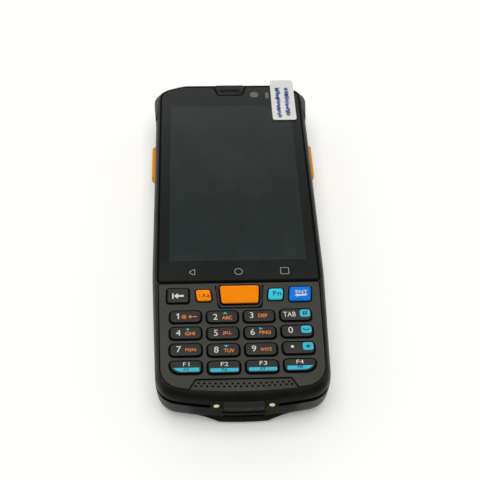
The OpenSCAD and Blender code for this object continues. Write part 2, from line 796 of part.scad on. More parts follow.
module earpiece_cover() color(plastic) difference() {
    prism(outline(ear_plan()), glass_z, body_h);
    slab(ear_slot_w, ear_slot_l, 1, glass_z + 0.4, far, 0, ear_slot_mid);
    slab(sound_w, sound_l, 0.7, 0, far, 0, ear_slot_mid);
}

module earpiece_mesh() color(rubber_black)
    slab(ear_slot_w - 0.1, ear_slot_l - 0.1, 0.95, glass_z + 0.4, glass_z + 0.55, 0, ear_slot_mid);

module screen_film() color([0.9, 0.92, 0.95, 0.3]) difference() {
    prism(outline(glass_plan, 0.5), body_h, body_h + film_t);
    prism(outline(ear_plan(), -0.8), 0, far);
}

module peel_tab() color([0.87, 0.85, 0.80]) {
    l = tab_l + tab_over;
    slab(tab_w, l, 1.2, body_h + film_t, body_h + film_t + 0.15, tab_x, body_l + tab_over - l / 2);
}

module display_module() color(steel) block(module_w, module_l, module_t, 0, module_y, glass_z - module_t);

module receiver() color(steel) slab(12, 5.2, 1, plate_z - 2.1, plate_z, 0, ear_slot_mid);

module front_camera() color(plastic) {
    block(6, 6, 2.2, camera_x, camera_y - 3, plate_z - 2.2);
    peg(2.4, plate_z - eps, glass_z, camera_x, camera_y);
}

module light_sensor() color(plastic)
    block(2, 4, glass_z - plate_z + 0.8, sensor_x, camera_y - 2.6, plate_z - 0.8);

// ---- Keypad ----

// Every key on the face, as [name, plan, height of its top, colour, recess]
function pad_keys() = concat(
    [[top_names[0], leaning(-outer_key_x, outer_key_w, outer_key_l, 0), key_top, key_grey],
     [top_names[1], leaning(-small_key_x, small_key_w, small_key_l, 0.6), key_top, orange],
     [top_names[2], tapered(scan_w, scan_w - 1.2, top_row_y - scan_l / 2, top_row_y + scan_l / 2, 1),
      scan_top, orange],
     [top_names[3], leaning(small_key_x, small_key_w, small_key_l, -0.6), key_top, cyan],
     [top_names[4], leaning(outer_key_x, outer_key_w, outer_key_l, -0.7), key_top, blue]],
    [for (row = [0:3]) for (col = [0:3]) [
        number_names[row][col], number_key(number_columns[col], row), key_top, key_grey]]);

// A four-cornered key whose lower edge is shifted sideways by lean
function leaning(x, w, l, lean) = [
    [x - w / 2 + lean, top_row_y - l / 2, 0.9, 4],
    [x + w / 2 + lean, top_row_y - l / 2, 0.9, 4],
    [x + w / 2, top_row_y + l / 2, 0.9, 4],
    [x - w / 2, top_row_y + l / 2, 0.9, 4]];

// A number key; the outer lower corners of the last row follow the fascia's corners
function number_key(col, row) =
    let (x = col * key_pitch_x,
         y = row_y + row * key_pitch_y - (abs(col) < 1 ? key_smile : 0),
         left = row == 0 && col < -1 ? 3.6 : key_r,
         right = row == 0 && col > 1 ? 3.6 : key_r)
    [[x - key_w / 2, y - key_l / 2, left, 4],
     [x + key_w / 2, y - key_l / 2, right, 4],
     [x + key_w / 2, y + key_l / 2, key_r, 4],
     [x - key_w / 2, y + key_l / 2, key_r, 4]];

// Middle of a key's plan, where its stem is
function middle(plan) =
    [for (axis = [0, 1]) (plan[0][axis] + plan[1][axis] + plan[2][axis] + plan[3][axis]) / 4];

module pad_key(k) color(k[3]) {
    plan = k[1];
    top = k[2];
    spot = middle(plan);
    loft([
        [flange_top - eps, outline(plan)],
        [top - 0.45, outline(plan)],
        [top - 0.12, outline(plan, 0.22)],
        [top, outline(plan, 0.6)]]);
    prism(outline(plan, -key_gap - flange_reach), flange_top - flange_t, flange_top);
    peg(stem_r, stem_z, flange_top, spot[0], spot[1]);
}

module keypad_fascia() color(fascia_grey) difference() {
    prism(outline(fascia_plan), fascia_z, fascia_top);
    for (k = pad_keys()) prism(outline(k[1], -key_gap), 0, far);
    // groove round the scan key, open towards the screen
    difference() {
        prism(outline(scan_surround(0)), fascia_top - groove_depth, far);
        prism(outline(scan_surround(groove_ring)), 0, far);
        block(far, 5, far, 0, fascia_end - 1.2, 0);
    }
    // sunk panel round the speaker holes, open at the bowed edge
    prism(outline(tapered(grille_w, grille_w + 7, fascia_y - 1, grille_y + 1.75, 0.4, 2)),
          fascia_top - grille_depth, far);
    speaker_holes();
}

function scan_surround(inset) =
    tapered(scan_w + 4.2 - 2 * inset, scan_w + 1.6 - 2 * inset,
            top_row_y - scan_l / 2 - 2 + inset, fascia_end + 3, 1.4);

// Two staggered rows of holes that follow the fascia's bowed edge
module speaker_holes() {
    for (row = [0, 1]) {
        n = grille_holes + row;
        for (i = [0:n - 1]) {
            x = (i - (n - 1) / 2) * hole_pitch;
            bow = fascia_r - sqrt(fascia_r * fascia_r - x * x);
            translate([x, grille_y - row * grille_step + bow * 0.6, 0])
                cylinder(d = hole_d, h = far, $fn = 16);
        }
    }
}

module keypad_mat() color(key_grey) difference() {
    slab(pad_w + 0.4, pad_top - pad_y - 0.6, 2, mat_z, plate_z, 0, (pad_top + pad_y) / 2 + 0.3);
    for (k = pad_keys()) peg(well_r, 0, far, middle(k[1])[0], middle(k[1])[1]);
}

module dome_switches() color(steel)
    for (k = pad_keys()) translate([middle(k[1])[0], middle(k[1])[1], mat_z])
        cylinder(r1 = 2.1, r2 = 1.3, h = dome_t);

module keypad_board() color(board_green)
    slab(pad_w, pad_top - pad_y - 1, 2, board_z, mat_z, 0, (pad_top + pad_y) / 2 + 0.5);

// ---- Electronics ----

module main_board() color(board_green) difference() {
    block(board_w, board_end - board_y, board_t, 0, board_y, deck_z);
    at_screws() peg(boss_r + 0.3, 0, far);
    at_screws() peg(column_r + 0.2, 0, column_z + fit);
}

module shield_cans() color(steel) {
    can(can_margin + can_space - board_w / 2, can_split - can_space / 2, board_y + foot_can_up, foot_can_l);
    can(can_split + can_space / 2, board_w / 2 - can_margin, board_end - head_can_down, head_can_l);
}

module can(x0, x1, y, l) {
    z = deck_z + board_t;
    slab(x1 - x0, l, 1.5, z, z + can_h, (x0 + x1) / 2, y + l / 2);
}

module port_board() color(board_green) 
    block(block_w - 1, port_board_l, board_t, 0, block_l + 0.3, port_board_z);

module usb_socket() color(steel) difference() {
    slab_y(socket_w, socket_h, socket_h / 2 - eps, socket_y, socket_y + socket_l, socket_z);
    difference() {
        slab_y(socket_w - 0.6, socket_h - 0.6, socket_h / 2 - 0.31,
               socket_y - 1, socket_y + socket_l - 1, socket_z);
        block(6.6, socket_l, 0.7, 0, socket_y + 0.8, socket_z - 0.35);
    }
}

module charge_contacts() color(gold) both_sides() {
    face_y = foot_edge(contact_x) - foot_step + 0.2;
    bar_y(contact_d / 2, block_l + 0.3 - face_y, contact_x, face_y, contact_z);
    bar_y(contact_d / 2 + 0.4, 0.6, contact_x, block_l + 0.02, contact_z);
}

// Between the raised middle of the foot and the boss of a screw
module loudspeaker() color(plastic)
    slab(speaker_w, speaker_l, 1, plate_z - speaker_h, plate_z,
         screw_spots[0][0] - boss_r - speaker_gap - speaker_w / 2, block_l + speaker_l / 2 + 0.8);

module vibration_motor() color(steel)
    peg(motor_r, floor_z, floor_z + motor_h, motor_from_side - body_w / 2, body_l - motor_from_head);

module battery_pack() color([0.15, 0.16, 0.18]) difference() {
    base_z = cover_t + slide_gap;
    slab(battery_w, battery_l, 1.5, base_z, base_z + battery_t, 0, battery_y + battery_l / 2);
    // its contact pads
    for (x = pad_spots) block(1.8, 1, 2.4, x, battery_y - 0.7, cover_t + 1.6);
}

module battery_contacts() color(plastic) {
    block(terminal_w, battery_y - bay_y - barrel_r - 3.3, terminal_h,
          0, battery_y - 2.5, bay_top - terminal_h);
    for (x = pad_spots) color(gold) block(1, 0.5, 1.6, x, battery_y - 0.5, bay_top - 2.4);
}

module scan_engine() color(plastic) difference() {
    block(engine_w, engine_l, engine_h, 0, engine_y, engine_z);
    // aimer and imager openings
    bar_y(2, 3, -4.5, engine_y + engine_l - 2, engine_z + engine_h / 2);
    bar_y(1.5, 3, 4.5, engine_y + engine_l - 2, engine_z + engine_h / 2);
}

module scan_window() color([0.25, 0.05, 0.06])
    slab_y(window_w, window_h, 0.9, window_y, window_y + window_t, window_z + window_h / 2);

module rear_camera() color(plastic) translate([camera_back[0], camera_back[1], 0]) {
    block(8.4, 8.4, 4.4, 0, -4.2, pocket_z);
    peg(lens_barrel_r, 0.95, pocket_z + eps);
    color(glass_black) peg(lens_r, 0.35, 0.96);
}

module flash_led() color([0.95, 0.93, 0.8]) peg(1.6, 0.4, pocket_z + 0.9, flash_back[0], flash_back[1]);

module side_switches() color(steel) {
    // each waits a little behind the flange of its key, past the key's travel
    both_sides() block(switch_l, switch_w, switch_h, side_flange_x - switch_gap - switch_l / 2,
                       side_key_y - switch_w / 2, deck_z + board_t);
    block(5, switch_l, switch_h, power_x, power_flange_y - switch_gap - switch_l, floor_z);
}

// ---- Side keys ----

module right_scan_key() color(orange) {
    translate([body_w / 2, side_key_y, side_key_z - side_key_h / 2]) linear_extrude(side_key_h) polygon([
        [-wall - slide_gap, -side_key_l / 2], [0, -side_key_l / 2], [side_key_out, -side_key_l / 2 + 1.3],
        [side_key_out, side_key_l / 2 - 1.3], [0, side_key_l / 2], [-wall - slide_gap, side_key_l / 2]]);
    block(side_flange_t, side_key_l + 2 * side_flange, side_key_h + 0.8,
          side_flange_x + side_flange_t / 2,
          side_key_y - side_key_l / 2 - side_flange, side_key_z - side_key_h / 2 - 0.1);
}

module left_scan_key() mirror([1, 0, 0]) right_scan_key();

module power_key() color(plastic) translate([power_x, 0, 0]) {
    slab_y(power_l, power_h, 0.8, body_l - wall - slide_gap, body_l + 0.5, power_z);
    slab_y(power_l + 2 * side_flange, power_h + 1, 0.8,
           power_flange_y, power_flange_y + side_flange_t, power_z);
}

// ---- Covers ----

module usb_cover() color(rubber_black) {
    intersection() {
        union() {
            block(port_w, port_t, port_h, 0, -foot_step, port_axis_z);
            bar_x(port_axis_r, port_w, -port_w / 2, port_axis_y, port_axis_z);
        }
        slab_y(port_w, port_h, port_r, -2, 4, port_z + port_h / 2);
        foot_face(0.1);
    }
    bar_x(pivot_r, port_w + 2 * pivot_l, -port_w / 2 - pivot_l, port_axis_y, port_axis_z);
    // plug that closes the socket
    slab_y(8.4, 2.6, 1.2, port_t - foot_step - eps, port_t - foot_step + 1.9, socket_z);
}

module battery_cover() color(plastic) difference() {
    union() {
        block(cover_w, cover_l, cover_t, 0, hinge_y, 0);
        bar_x(barrel_r, cover_w, -cover_w / 2, hinge_y, hinge_z);
        bar_x(hinge_pin_d / 2, cover_w + 2 * hinge_pin_l, -cover_w / 2 - hinge_pin_l, hinge_y, hinge_z);
        // rails that hold the latch
        both_sides() {
            block(1, rail_l, latch_t + 0.7, latch_w / 2 + 2.5, latch_y, cover_t - eps);
            block(2.2, rail_l, 0.5, latch_w / 2 + 1.9, latch_y, latch_z + latch_t + 0.1);
        }
    }
    // window for the latch's thumb pad
    block(latch_w + 0.4, latch_l + latch_travel + 0.3, far, 0, latch_y - 0.15, -1);
    // shallow thumb scoop
    translate([0, latch_y - 3, -7.2]) sphere(r = 7.8, $fn = 64);
}

module battery_latch() color(key_grey) {
    difference() {
        block(latch_w, latch_l, latch_z - 0.2, 0, latch_y, 0.2);
        for (i = [0:2]) block(latch_w - 1.6, 0.4, 0.4, 0, latch_y + 0.8 + i * 0.8, 0);
    }
    block(latch_w + 3.6, 3.3, latch_t, 0, latch_y, latch_z);
    block(tongue_w, rail_l - 0.2, latch_t, 0, latch_y, latch_z);
}

from_foot() front_housing();
from_foot() rear_housing();
from_foot() left_bumper();
from_foot() right_bumper();
from_foot() keypad_fascia();
from_foot() front_glass();
from_foot() screen_film();
from_foot() peel_tab();
from_foot() display_module();
from_foot() earpiece_cover();
from_foot() earpiece_mesh();
from_foot() receiver();
from_foot() front_camera();
from_foot() light_sensor();
for (k = pad_keys()) from_foot() pad_key(k);
from_foot() keypad_mat();
from_foot() dome_switches();
from_foot() keypad_board();
from_foot() main_board();
from_foot() shield_cans();
from_foot() port_board();
from_foot() usb_socket();
from_foot() usb_cover();
from_foot() charge_contacts();
from_foot() loudspeaker();
from_foot() left_scan_key();
from_foot() right_scan_key();
from_foot() power_key();
from_foot() side_switches();
from_foot() battery_pack();
from_foot() battery_contacts();
from_foot() battery_cover();
from_foot() battery_latch();
from_foot() scan_engine();
from_foot() scan_window();
from_foot() rear_camera();
from_foot() flash_led();
from_foot() housing_screws();
from_foot() seal_gasket();
from_foot() vibration_motor();
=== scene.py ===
# A handheld barcode data terminal: finishes, printed legends and fine surface detail round its solids
import json
import math

import bmesh
import bpy
from mathutils import Matrix, Vector


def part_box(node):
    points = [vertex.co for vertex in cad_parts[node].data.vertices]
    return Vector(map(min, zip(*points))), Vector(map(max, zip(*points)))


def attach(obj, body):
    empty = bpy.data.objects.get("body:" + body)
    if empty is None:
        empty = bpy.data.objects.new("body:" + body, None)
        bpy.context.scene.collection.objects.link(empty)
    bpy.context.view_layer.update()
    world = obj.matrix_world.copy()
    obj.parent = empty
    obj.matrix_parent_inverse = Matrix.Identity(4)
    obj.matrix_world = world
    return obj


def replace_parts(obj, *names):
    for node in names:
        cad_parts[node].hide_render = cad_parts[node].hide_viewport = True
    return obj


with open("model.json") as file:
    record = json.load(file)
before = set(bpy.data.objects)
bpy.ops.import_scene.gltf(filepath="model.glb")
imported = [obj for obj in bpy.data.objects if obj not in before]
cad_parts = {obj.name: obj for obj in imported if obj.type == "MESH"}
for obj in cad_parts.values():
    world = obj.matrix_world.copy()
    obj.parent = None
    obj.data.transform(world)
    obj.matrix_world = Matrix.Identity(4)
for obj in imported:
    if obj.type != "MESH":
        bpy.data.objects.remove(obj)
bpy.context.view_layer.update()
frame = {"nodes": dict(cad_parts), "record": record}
nodes = frame["nodes"]
mm = 0.001
bodyOf = {node: body for body, members in frame["record"]["behaviour"]["bodies"].items() for node in members}
slotOf = {part["node"]: part["material_slot"] for part in frame["record"]["subparts"]}
print("frame loaded:", len(nodes), "solids")


def linear(red, green, blue):
    # a colour as the eye sees it, 0 to 255, turned into the light's own scale
    def one(value):
        value /= 255
        return value / 12.92 if value <= 0.04045 else ((value + 0.055) / 1.055) ** 2.4
    return (one(red), one(green), one(blue), 1.0)


def shade(colour, amount):
    return (colour[0] * amount, colour[1] * amount, colour[2] * amount, 1.0)


class Socket:
    # an output that can stand in a sum: every operation adds a Math node
    def __init__(self, graph, link):
        self.graph = graph
        self.link = link

    def maths(self, operation, first, second, clamp=False):
        settings = {"operation": operation, "use_clamp": clamp}
        return self.graph.node("ShaderNodeMath", settings, {0: first, 1: second})

    def __add__(self, other):
        return self.maths("ADD", self, other)

    def __radd__(self, other):
        return self.maths("ADD", other, self)

    def __sub__(self, other):
        return self.maths("SUBTRACT", self, other)

    def __rsub__(self, other):
        return self.maths("SUBTRACT", other, self)

    def __mul__(self, other):
        return self.maths("MULTIPLY", self, other)

    def __rmul__(self, other):
        return self.maths("MULTIPLY", other, self)

    def __truediv__(self, other):
        return self.maths("DIVIDE", self, other)

    def __mod__(self, other):
        return self.maths("MODULO", self, other)

    def __lt__(self, other):
        return self.maths("LESS_THAN", self, other)

    def __abs__(self):
        return self.maths("ABSOLUTE", self, 0.0)

    def floored(self):
        return self.maths("FLOOR", self, 0.0)

    def clamped(self):
        return self.maths("ADD", self, 0.0, True)


class Graph:
    def __init__(self, tree):
        self.tree = tree

    def node(self, kind, settings, inputs, output=0):
        made = self.tree.nodes.new(kind)
        for name, value in settings.items():
            setattr(made, name, value)
        for name, value in inputs.items():
            if isinstance(value, Socket):
                self.tree.links.new(value.link, made.inputs[name])
            else:
                made.inputs[name].default_value = value
        return Socket(self, made.outputs[output]) if made.outputs else made

    def mix(self, factor, first, second):
        return self.node("ShaderNodeMix", {"data_type": "RGBA"}, {0: factor, 6: first, 7: second}, 2)

    def smooth(self, value):
        # an S-curve from 0 to 1
        return self.node("ShaderNodeMapRange", {"interpolation_type": "SMOOTHSTEP"}, {"Value": value})

    def part(self, vector, name):
        return self.node("ShaderNodeSeparateXYZ", {}, {0: vector}, name)


class Finish(Graph):
    # a material; its places are Object coordinates, in metres
    def __init__(self, name):
        self.material = bpy.data.materials.new(name)
        self.material.use_nodes = True
        super().__init__(self.material.node_tree)
        self.tree.nodes.clear()
        self.place = self.node("ShaderNodeTexCoord", {}, {}, "Object")

    def axis(self, name):
        return self.part(self.place, name)

    def noise(self, size, detail=2.0, roughness=0.5):
        inputs = {"Vector": self.place, "Scale": 1 / size, "Detail": detail, "Roughness": roughness}
        return self.node("ShaderNodeTexNoise", {}, inputs, 0)

    def bump(self, height, depth):
        return self.node("ShaderNodeBump", {}, {"Height": height, "Distance": depth, "Strength": 1.0})

    def surface(self, inputs):
        shader = self.node("ShaderNodeBsdfPrincipled", {}, inputs)
        self.node("ShaderNodeOutputMaterial", {}, {"Surface": shader})
        return self.material


def moulded(name, s):
    # eroded-mould grain, a faint cloud, paler rubs where hands and tables wear it,
    # and a sheen that fades at the foot
    f = Finish(name)
    grain = f.noise(s["grain"], 3.0, 0.6)
    cloud = f.noise(s["cloud"], 2.0, 0.5)
    tone = ((grain - 0.5) * s["speckle"] + (cloud - 0.5) * s["mottle"] + 0.5).clamped()
    base = f.mix(tone, shade(s["colour"], s["darker"]), shade(s["colour"], s["paler"]))
    rubbed = f.smooth((f.axis("Z") - s["rubFrom"]) * (1 / s["rubDepth"])) * ((cloud - 0.35) * 3.0).clamped()
    sheen = 0.0
    if s["sheen"]:
        end = f.smooth((s["sheenEnd"] - f.axis("Y")) * (1 / s["sheenFade"]))
        inner = f.smooth((s["sheenSide"] - abs(f.axis("X"))) * (1 / s["sheenFade"]))
        upper = f.smooth((f.axis("Z") - s["sheenLevel"]) * (1 / s["sheenFade"]))
        sheen = (1.0 - end * (inner + upper).clamped()) * s["sheen"]
    return f.surface({
        "Base Color": f.mix(rubbed * s["rub"], base, shade(s["colour"], s["rubPaler"])),
        "Roughness": (s["roughness"] + (cloud - 0.5) * 0.16 - rubbed * 0.08).clamped(),
        "Coat Weight": sheen,
        "Coat Roughness": s["roughness"],
        "Normal": f.bump(grain, s["depth"]),
        "Specular IOR Level": s["specular"]})


def rubberised(name, s):
    # soft-touch surface: little gloss, with a fine nap and a few paler rubs
    f = Finish(name)
    nap = f.noise(s["grain"], 2.0, 0.7)
    rub = f.noise(s["cloud"], 4.0, 0.65)
    rubbed = ((rub - 0.56) * 6.0).clamped()
    return f.surface({
        "Base Color": f.mix(rubbed * s["wear"], s["colour"], shade(s["colour"], 1.7)),
        "Roughness": (s["roughness"] - rubbed * 0.12).clamped(),
        "Normal": f.bump(nap, s["depth"]),
        "Specular IOR Level": s["specular"]})


def gripPlate(name, s):
    # case plastic with a fine crossed hatch moulded into it, its grooves painted darker as shade
    f = Finish(name)
    x, y = f.axis("X"), f.axis("Y")
    grain = f.noise(s["grain"], 3.0, 0.6)
    rising = abs(((x + y + 1.0) * (1 / s["hatch"])) % 1.0 - 0.5)
    falling = abs(((x - y + 1.0) * (1 / s["hatch"])) % 1.0 - 0.5)
    lines = [((s["grooveWidth"] - line) * s["grooveEdge"]).clamped() for line in (rising, falling)]
    grooveAndShade = lines[0] * 0.5 + lines[1] * 0.5
    return f.surface({
        # painted shade: the colour goes darker in the grooves and paler on the flats between them
        "Base Color": f.mix(grooveAndShade, shade(s["colour"], 1.2), shade(s["colour"], 0.6)),
        "Roughness": (s["roughness"] + (grain - 0.5) * 0.2).clamped(),
        "Normal": f.bump(1.0 - grooveAndShade + grain * 0.3, s["depth"]),
        "Specular IOR Level": s["specular"]})


def keycap(name, colour, s):
    # satin keycap, very slightly uneven, with the grain of its mould
    f = Finish(name)
    cloud = f.noise(s["cloud"], 2.0)
    grain = f.noise(s["grain"], 2.0)
    return f.surface({
        "Base Color": f.mix(cloud * 0.7 + grain * 0.3, shade(colour, 0.9), shade(colour, 1.1)),
        "Roughness": s["roughness"] + (grain - 0.5) * 0.15,
        "Normal": f.bump(grain, s["depth"]),
        "Specular IOR Level": s["specular"]})


def printedInk(name, colour):
    # screen-printed ink with a slightly uneven film
    f = Finish(name)
    film = f.noise(0.25 * mm, 2.0)
    return f.surface({
        "Base Color": f.mix(film, shade(colour, 0.9), shade(colour, 1.06)),
        "Roughness": 0.5 + film * 0.1,
        "Specular IOR Level": 0.3})


def brushedMetal(name, colour, s):
    f = Finish(name)
    stretched = f.node("ShaderNodeMapping", {"vector_type": "TEXTURE"}, {0: f.place, 3: (12.0, 1.0, 1.0)})
    lines = f.node("ShaderNodeTexNoise", {}, {"Vector": stretched, "Scale": 1 / s["line"], "Detail": 3.0})
    return f.surface({
        "Base Color": f.mix(lines, shade(colour, 0.85), shade(colour, 1.08)),
        "Metallic": 1.0,
        "Roughness": s["roughness"] + (lines - 0.5) * 0.12,
        "Normal": f.bump(lines, s["depth"])})


def coverGlass(name, s):
    # black-printed glass: the panel shows as a dim blue-grey under a clear, glossy top
    f = Finish(name)
    across, along = abs(f.axis("X")), abs(f.axis("Y") - s["middle"])
    inside = (across < s["width"] / 2) * (along < s["length"] / 2)
    haze = f.noise(14 * mm, 3.0)
    smear = f.noise(3 * mm, 4.0, 0.7)
    lit = f.mix((haze - 0.25) * 2.0, s["picture"], s["pictureFar"])
    dust = ((f.noise(0.5 * mm, 1.0) - 0.82) * 30.0).clamped()
    base = f.mix(inside, s["border"], lit)
    return f.surface({
        "Base Color": f.mix(dust * 0.2, base, (0.2, 0.2, 0.2, 1.0)),
        "Roughness": s["roughness"] + smear * 0.06,
        "Specular IOR Level": s["specular"]})


def clearFilm(name, s):
    # thin film that is hardly there: a little gloss and milky streaks
    f = Finish(name)
    streak = f.noise(22 * mm, 3.0, 0.6)
    milky = ((streak - 0.5) * 2.0).clamped()
    return f.surface({
        "Base Color": (0.8, 0.82, 0.84, 1.0),
        "Roughness": 0.08 + milky * 0.2,
        "Alpha": s["alpha"] + milky * s["streak"],
        "Specular IOR Level": 0.3})


def pullFilm(name, s):
    # milky plastic, a little cloudy, with fine creases
    f = Finish(name)
    cloud = f.noise(5 * mm, 3.0)
    crease = f.noise(1.1 * mm, 2.0)
    return f.surface({
        "Base Color": f.mix(cloud, shade(s["colour"], 0.93), shade(s["colour"], 1.04)),
        "Roughness": 0.38 + cloud * 0.12,
        "Normal": f.bump(crease, 0.03 * mm),
        "Specular IOR Level": 0.4})


def circuitBoard(name, colour):
    # solder mask over a maze of tracks
    f = Finish(name)
    tracks = f.noise(1.6 * mm, 0.0)
    cells = f.node("ShaderNodeTexVoronoi", {"distance": "CHEBYCHEV"},
                   {"Vector": f.place, "Scale": 1 / (2.4 * mm)})
    lines = (abs(tracks * 8.0 - 4.0) < 0.5) * 0.6 + (cells < 0.12) * 0.4
    return f.surface({
        "Base Color": f.mix(lines, colour, shade(colour, 2.2)),
        "Roughness": 0.35 + lines * 0.1,
        "Normal": f.bump(lines, 0.02 * mm)})


def glossyLens(name, colour, roughness):
    # deep, nearly clear plastic or glass with a few fine scratches
    f = Finish(name)
    scratch = f.node("ShaderNodeMapping", {"vector_type": "TEXTURE"}, {0: f.place, 3: (0.15, 6.0, 1.0)})
    lines = f.node("ShaderNodeTexNoise", {}, {"Vector": scratch, "Scale": 900.0, "Detail": 1.0})
    return f.surface({
        "Base Color": f.mix(f.noise(2 * mm), shade(colour, 0.8), shade(colour, 1.2)),
        "Roughness": roughness + ((lines - 0.7) * 3.0).clamped() * 0.2,
        "Specular IOR Level": 0.5})


# sizes of grain, cloud and lines in metres; the sheen's limits and rubFrom are places on the case
caseGrain = {"colour": linear(21, 21, 18), "grain": 0.3 * mm, "cloud": 9 * mm, "speckle": 0.8,
             "mottle": 0.5, "darker": 0.72, "paler": 1.28, "depth": 0.02 * mm, "roughness": 0.42,
             "specular": 0.06, "sheen": 0.42, "sheenEnd": -72.5 * mm, "sheenSide": 21 * mm,
             "sheenLevel": 8.5 * mm, "sheenFade": 5 * mm,
             "rubFrom": 14.6 * mm, "rubDepth": 1.2 * mm, "rub": 0.5, "rubPaler": 2.6}
fasciaGrain = {**caseGrain, "colour": linear(54, 54, 48), "grain": 0.34 * mm, "cloud": 12 * mm,
               "speckle": 1.0, "mottle": 0.35, "depth": 0.03 * mm, "roughness": 0.62, "specular": 0.3,
               "sheen": 0.0, "rub": 0.05}
moduleGrain = {**caseGrain, "colour": linear(26, 26, 27), "specular": 0.4, "sheen": 0.0, "rub": 0.0}
hatchGrain = {"colour": linear(30, 30, 27), "grain": 0.3 * mm, "hatch": 1.5 * mm, "grooveWidth": 0.16,
              "grooveEdge": 8.0, "depth": 0.05 * mm, "roughness": 0.42, "specular": 0.3}
softGrain = {"colour": linear(24, 24, 22), "grain": 0.2 * mm, "cloud": 6 * mm, "depth": 0.02 * mm,
             "wear": 0.4, "roughness": 0.6, "specular": 0.3}
keyGrain = {"grain": 0.2 * mm, "cloud": 4 * mm, "depth": 0.01 * mm, "roughness": 0.5, "specular": 0.3}
brightGrain = {**keyGrain, "specular": 0.06}
metalGrain = {"line": 0.3 * mm, "roughness": 0.32, "depth": 0.004 * mm}

panelLow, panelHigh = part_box("display_module")
# the lit area lies 1 mm nearer the head than its panel
screen = {"middle": (panelLow.y + panelHigh.y) / 2 + 1 * mm, "width": 51.84 * mm, "length": 86.4 * mm,
          "specular": 0.4, "roughness": 0.04, "border": linear(13, 18, 12),
          "picture": linear(27, 36, 34), "pictureFar": linear(33, 41, 40)}

finishes = {
    "housing": moulded("charcoal_case", caseGrain),
    "fascia": moulded("warm_grey_fascia", fasciaGrain),
    "module": moulded("black_module", moduleGrain),
    "wrap": moulded("battery_wrap", {**moduleGrain, "colour": linear(40, 44, 52), "speckle": 0.2}),
    "grip": gripPlate("hatched_cover", hatchGrain),
    "bumper": rubberised("bumper_rubber", {**softGrain, "colour": linear(78, 78, 68), "specular": 0.4}),
    "cover": rubberised("port_rubber", {**softGrain, "colour": linear(20, 21, 18), "specular": 0.2}),
    "mat": rubberised("keypad_silicone", {**softGrain, "colour": linear(15, 15, 14)}),
    # near-black dull finish: black rubber on key sides and beads, and painted shade on the walls and floors
    # of gaps and openings
    "blackAndShade": rubberised("key_skirt", {**softGrain, "colour": linear(6, 6, 5), "roughness": 0.8,
                                      "specular": 0.05}),
    "key": keycap("charcoal_key", linear(34, 34, 30), keyGrain),
    "orangeKey": keycap("orange_key", linear(255, 144, 0), brightGrain),
    "sideKey": keycap("side_orange", linear(252, 164, 30), brightGrain),
    "cyanKey": keycap("cyan_key", linear(58, 204, 226), brightGrain),
    "blueKey": keycap("blue_key", linear(14, 122, 224), brightGrain),
    "glass": coverGlass("cover_glass", screen),
    "film": clearFilm("clear_film", {"alpha": 0.006, "streak": 0.01}),
    "tab": pullFilm("tab_film", {"colour": linear(226, 225, 218)}),
    "steel": brushedMetal("pressed_steel", (0.56, 0.57, 0.58, 1), metalGrain),
    "gold": brushedMetal("gold_contact", linear(238, 222, 170), metalGrain),
    "board": circuitBoard("solder_mask", (0.01, 0.075, 0.035, 1)),
    "redGlass": glossyLens("scan_window_red", (0.05, 0.003, 0.004, 1), 0.06),
    "lens": glossyLens("camera_lens", linear(20, 22, 30), 0.05),
    "flash": glossyLens("flash_lens", linear(235, 225, 190), 0.2),
    "gloss": glossyLens("gloss_black", linear(16, 16, 15), 0.3),
    "white": printedInk("white_ink", linear(224, 220, 208)),
    "orange": printedInk("orange_ink", linear(240, 136, 62)),
    "cyan": printedInk("cyan_ink", linear(50, 188, 214)),
    "teal": printedInk("dark_teal_ink", linear(10, 62, 74)),
    "brown": printedInk("brown_ink", linear(128, 58, 6)),
    "icon": printedInk("icon_ink", linear(160, 162, 156)),
    "tabInk": printedInk("tab_ink", linear(34, 66, 150)),
    "sensorGrey": printedInk("sensor_grey", linear(104, 104, 100))}

finishOf = {
    "housing_black": "housing", "bumper_rubber": "bumper", "fascia_grey": "fascia", "cover_glass": "glass",
    "clear_film": "film", "tab_film": "tab", "pressed_steel": "steel", "mesh_black": "module",
    "module_black": "module", "keypad_silicone": "mat", "circuit_board": "board", "cover_rubber": "cover",
    "gold_contact": "gold", "side_key_orange": "sideKey", "key_orange": "orangeKey", "key_cyan": "cyanKey",
    "key_blue": "blueKey", "key_charcoal": "key", "battery_wrap": "wrap", "scan_red_glass": "redGlass",
    "flash_lens": "flash"}
for name, solid in nodes.items():
    solid.data.materials.clear()
    solid.data.materials.append(finishes[finishOf[slotOf[name]]])
print("finishes made:", len(finishes))


def addPiece(name, mesh, body, materials):
    made = bpy.data.objects.new(name, mesh)
    bpy.context.scene.collection.objects.link(made)
    for key in materials:
        mesh.materials.append(finishes[key])
    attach(made, body)
    return made


def finishMesh(bm, name, sharp=30):
    bmesh.ops.recalc_face_normals(bm, faces=bm.faces)
    mesh = bpy.data.meshes.new(name)
    bm.to_mesh(mesh)
    bm.free()
    for face in mesh.polygons:
        face.use_smooth = True
    mesh.set_sharp_from_angle(angle=math.radians(sharp))
    return mesh


def mergedCopy(node):
    # a solid's loose triangles, joined up and with flat areas as one face
    bm = bmesh.new()
    bm.from_mesh(nodes[node].data)
    bmesh.ops.remove_doubles(bm, verts=bm.verts, dist=0.001 * mm)
    for v in bm.verts:
        v.co = [round(part, 6) for part in v.co]
    bmesh.ops.dissolve_limit(bm, angle_limit=math.radians(0.5), verts=bm.verts, edges=bm.edges)
    return bm


def tuck(bm, reach):
    # a bumper's top is drawn in over the groove beside it, as far as the housing's slope
    top = max(v.co.z for v in bm.verts) - 0.05 * mm
    moves = []
    for v in bm.verts:
        if v.co.z > top:
            inward = [face.normal for face in v.link_faces
                      if abs(face.normal.z) < 0.02 and face.normal.x * math.copysign(1, v.co.x) < -0.3]
            if inward:
                moves.append((v, sum(inward, Vector()).normalized() * reach))
    for v, move in moves:
        v.co += move


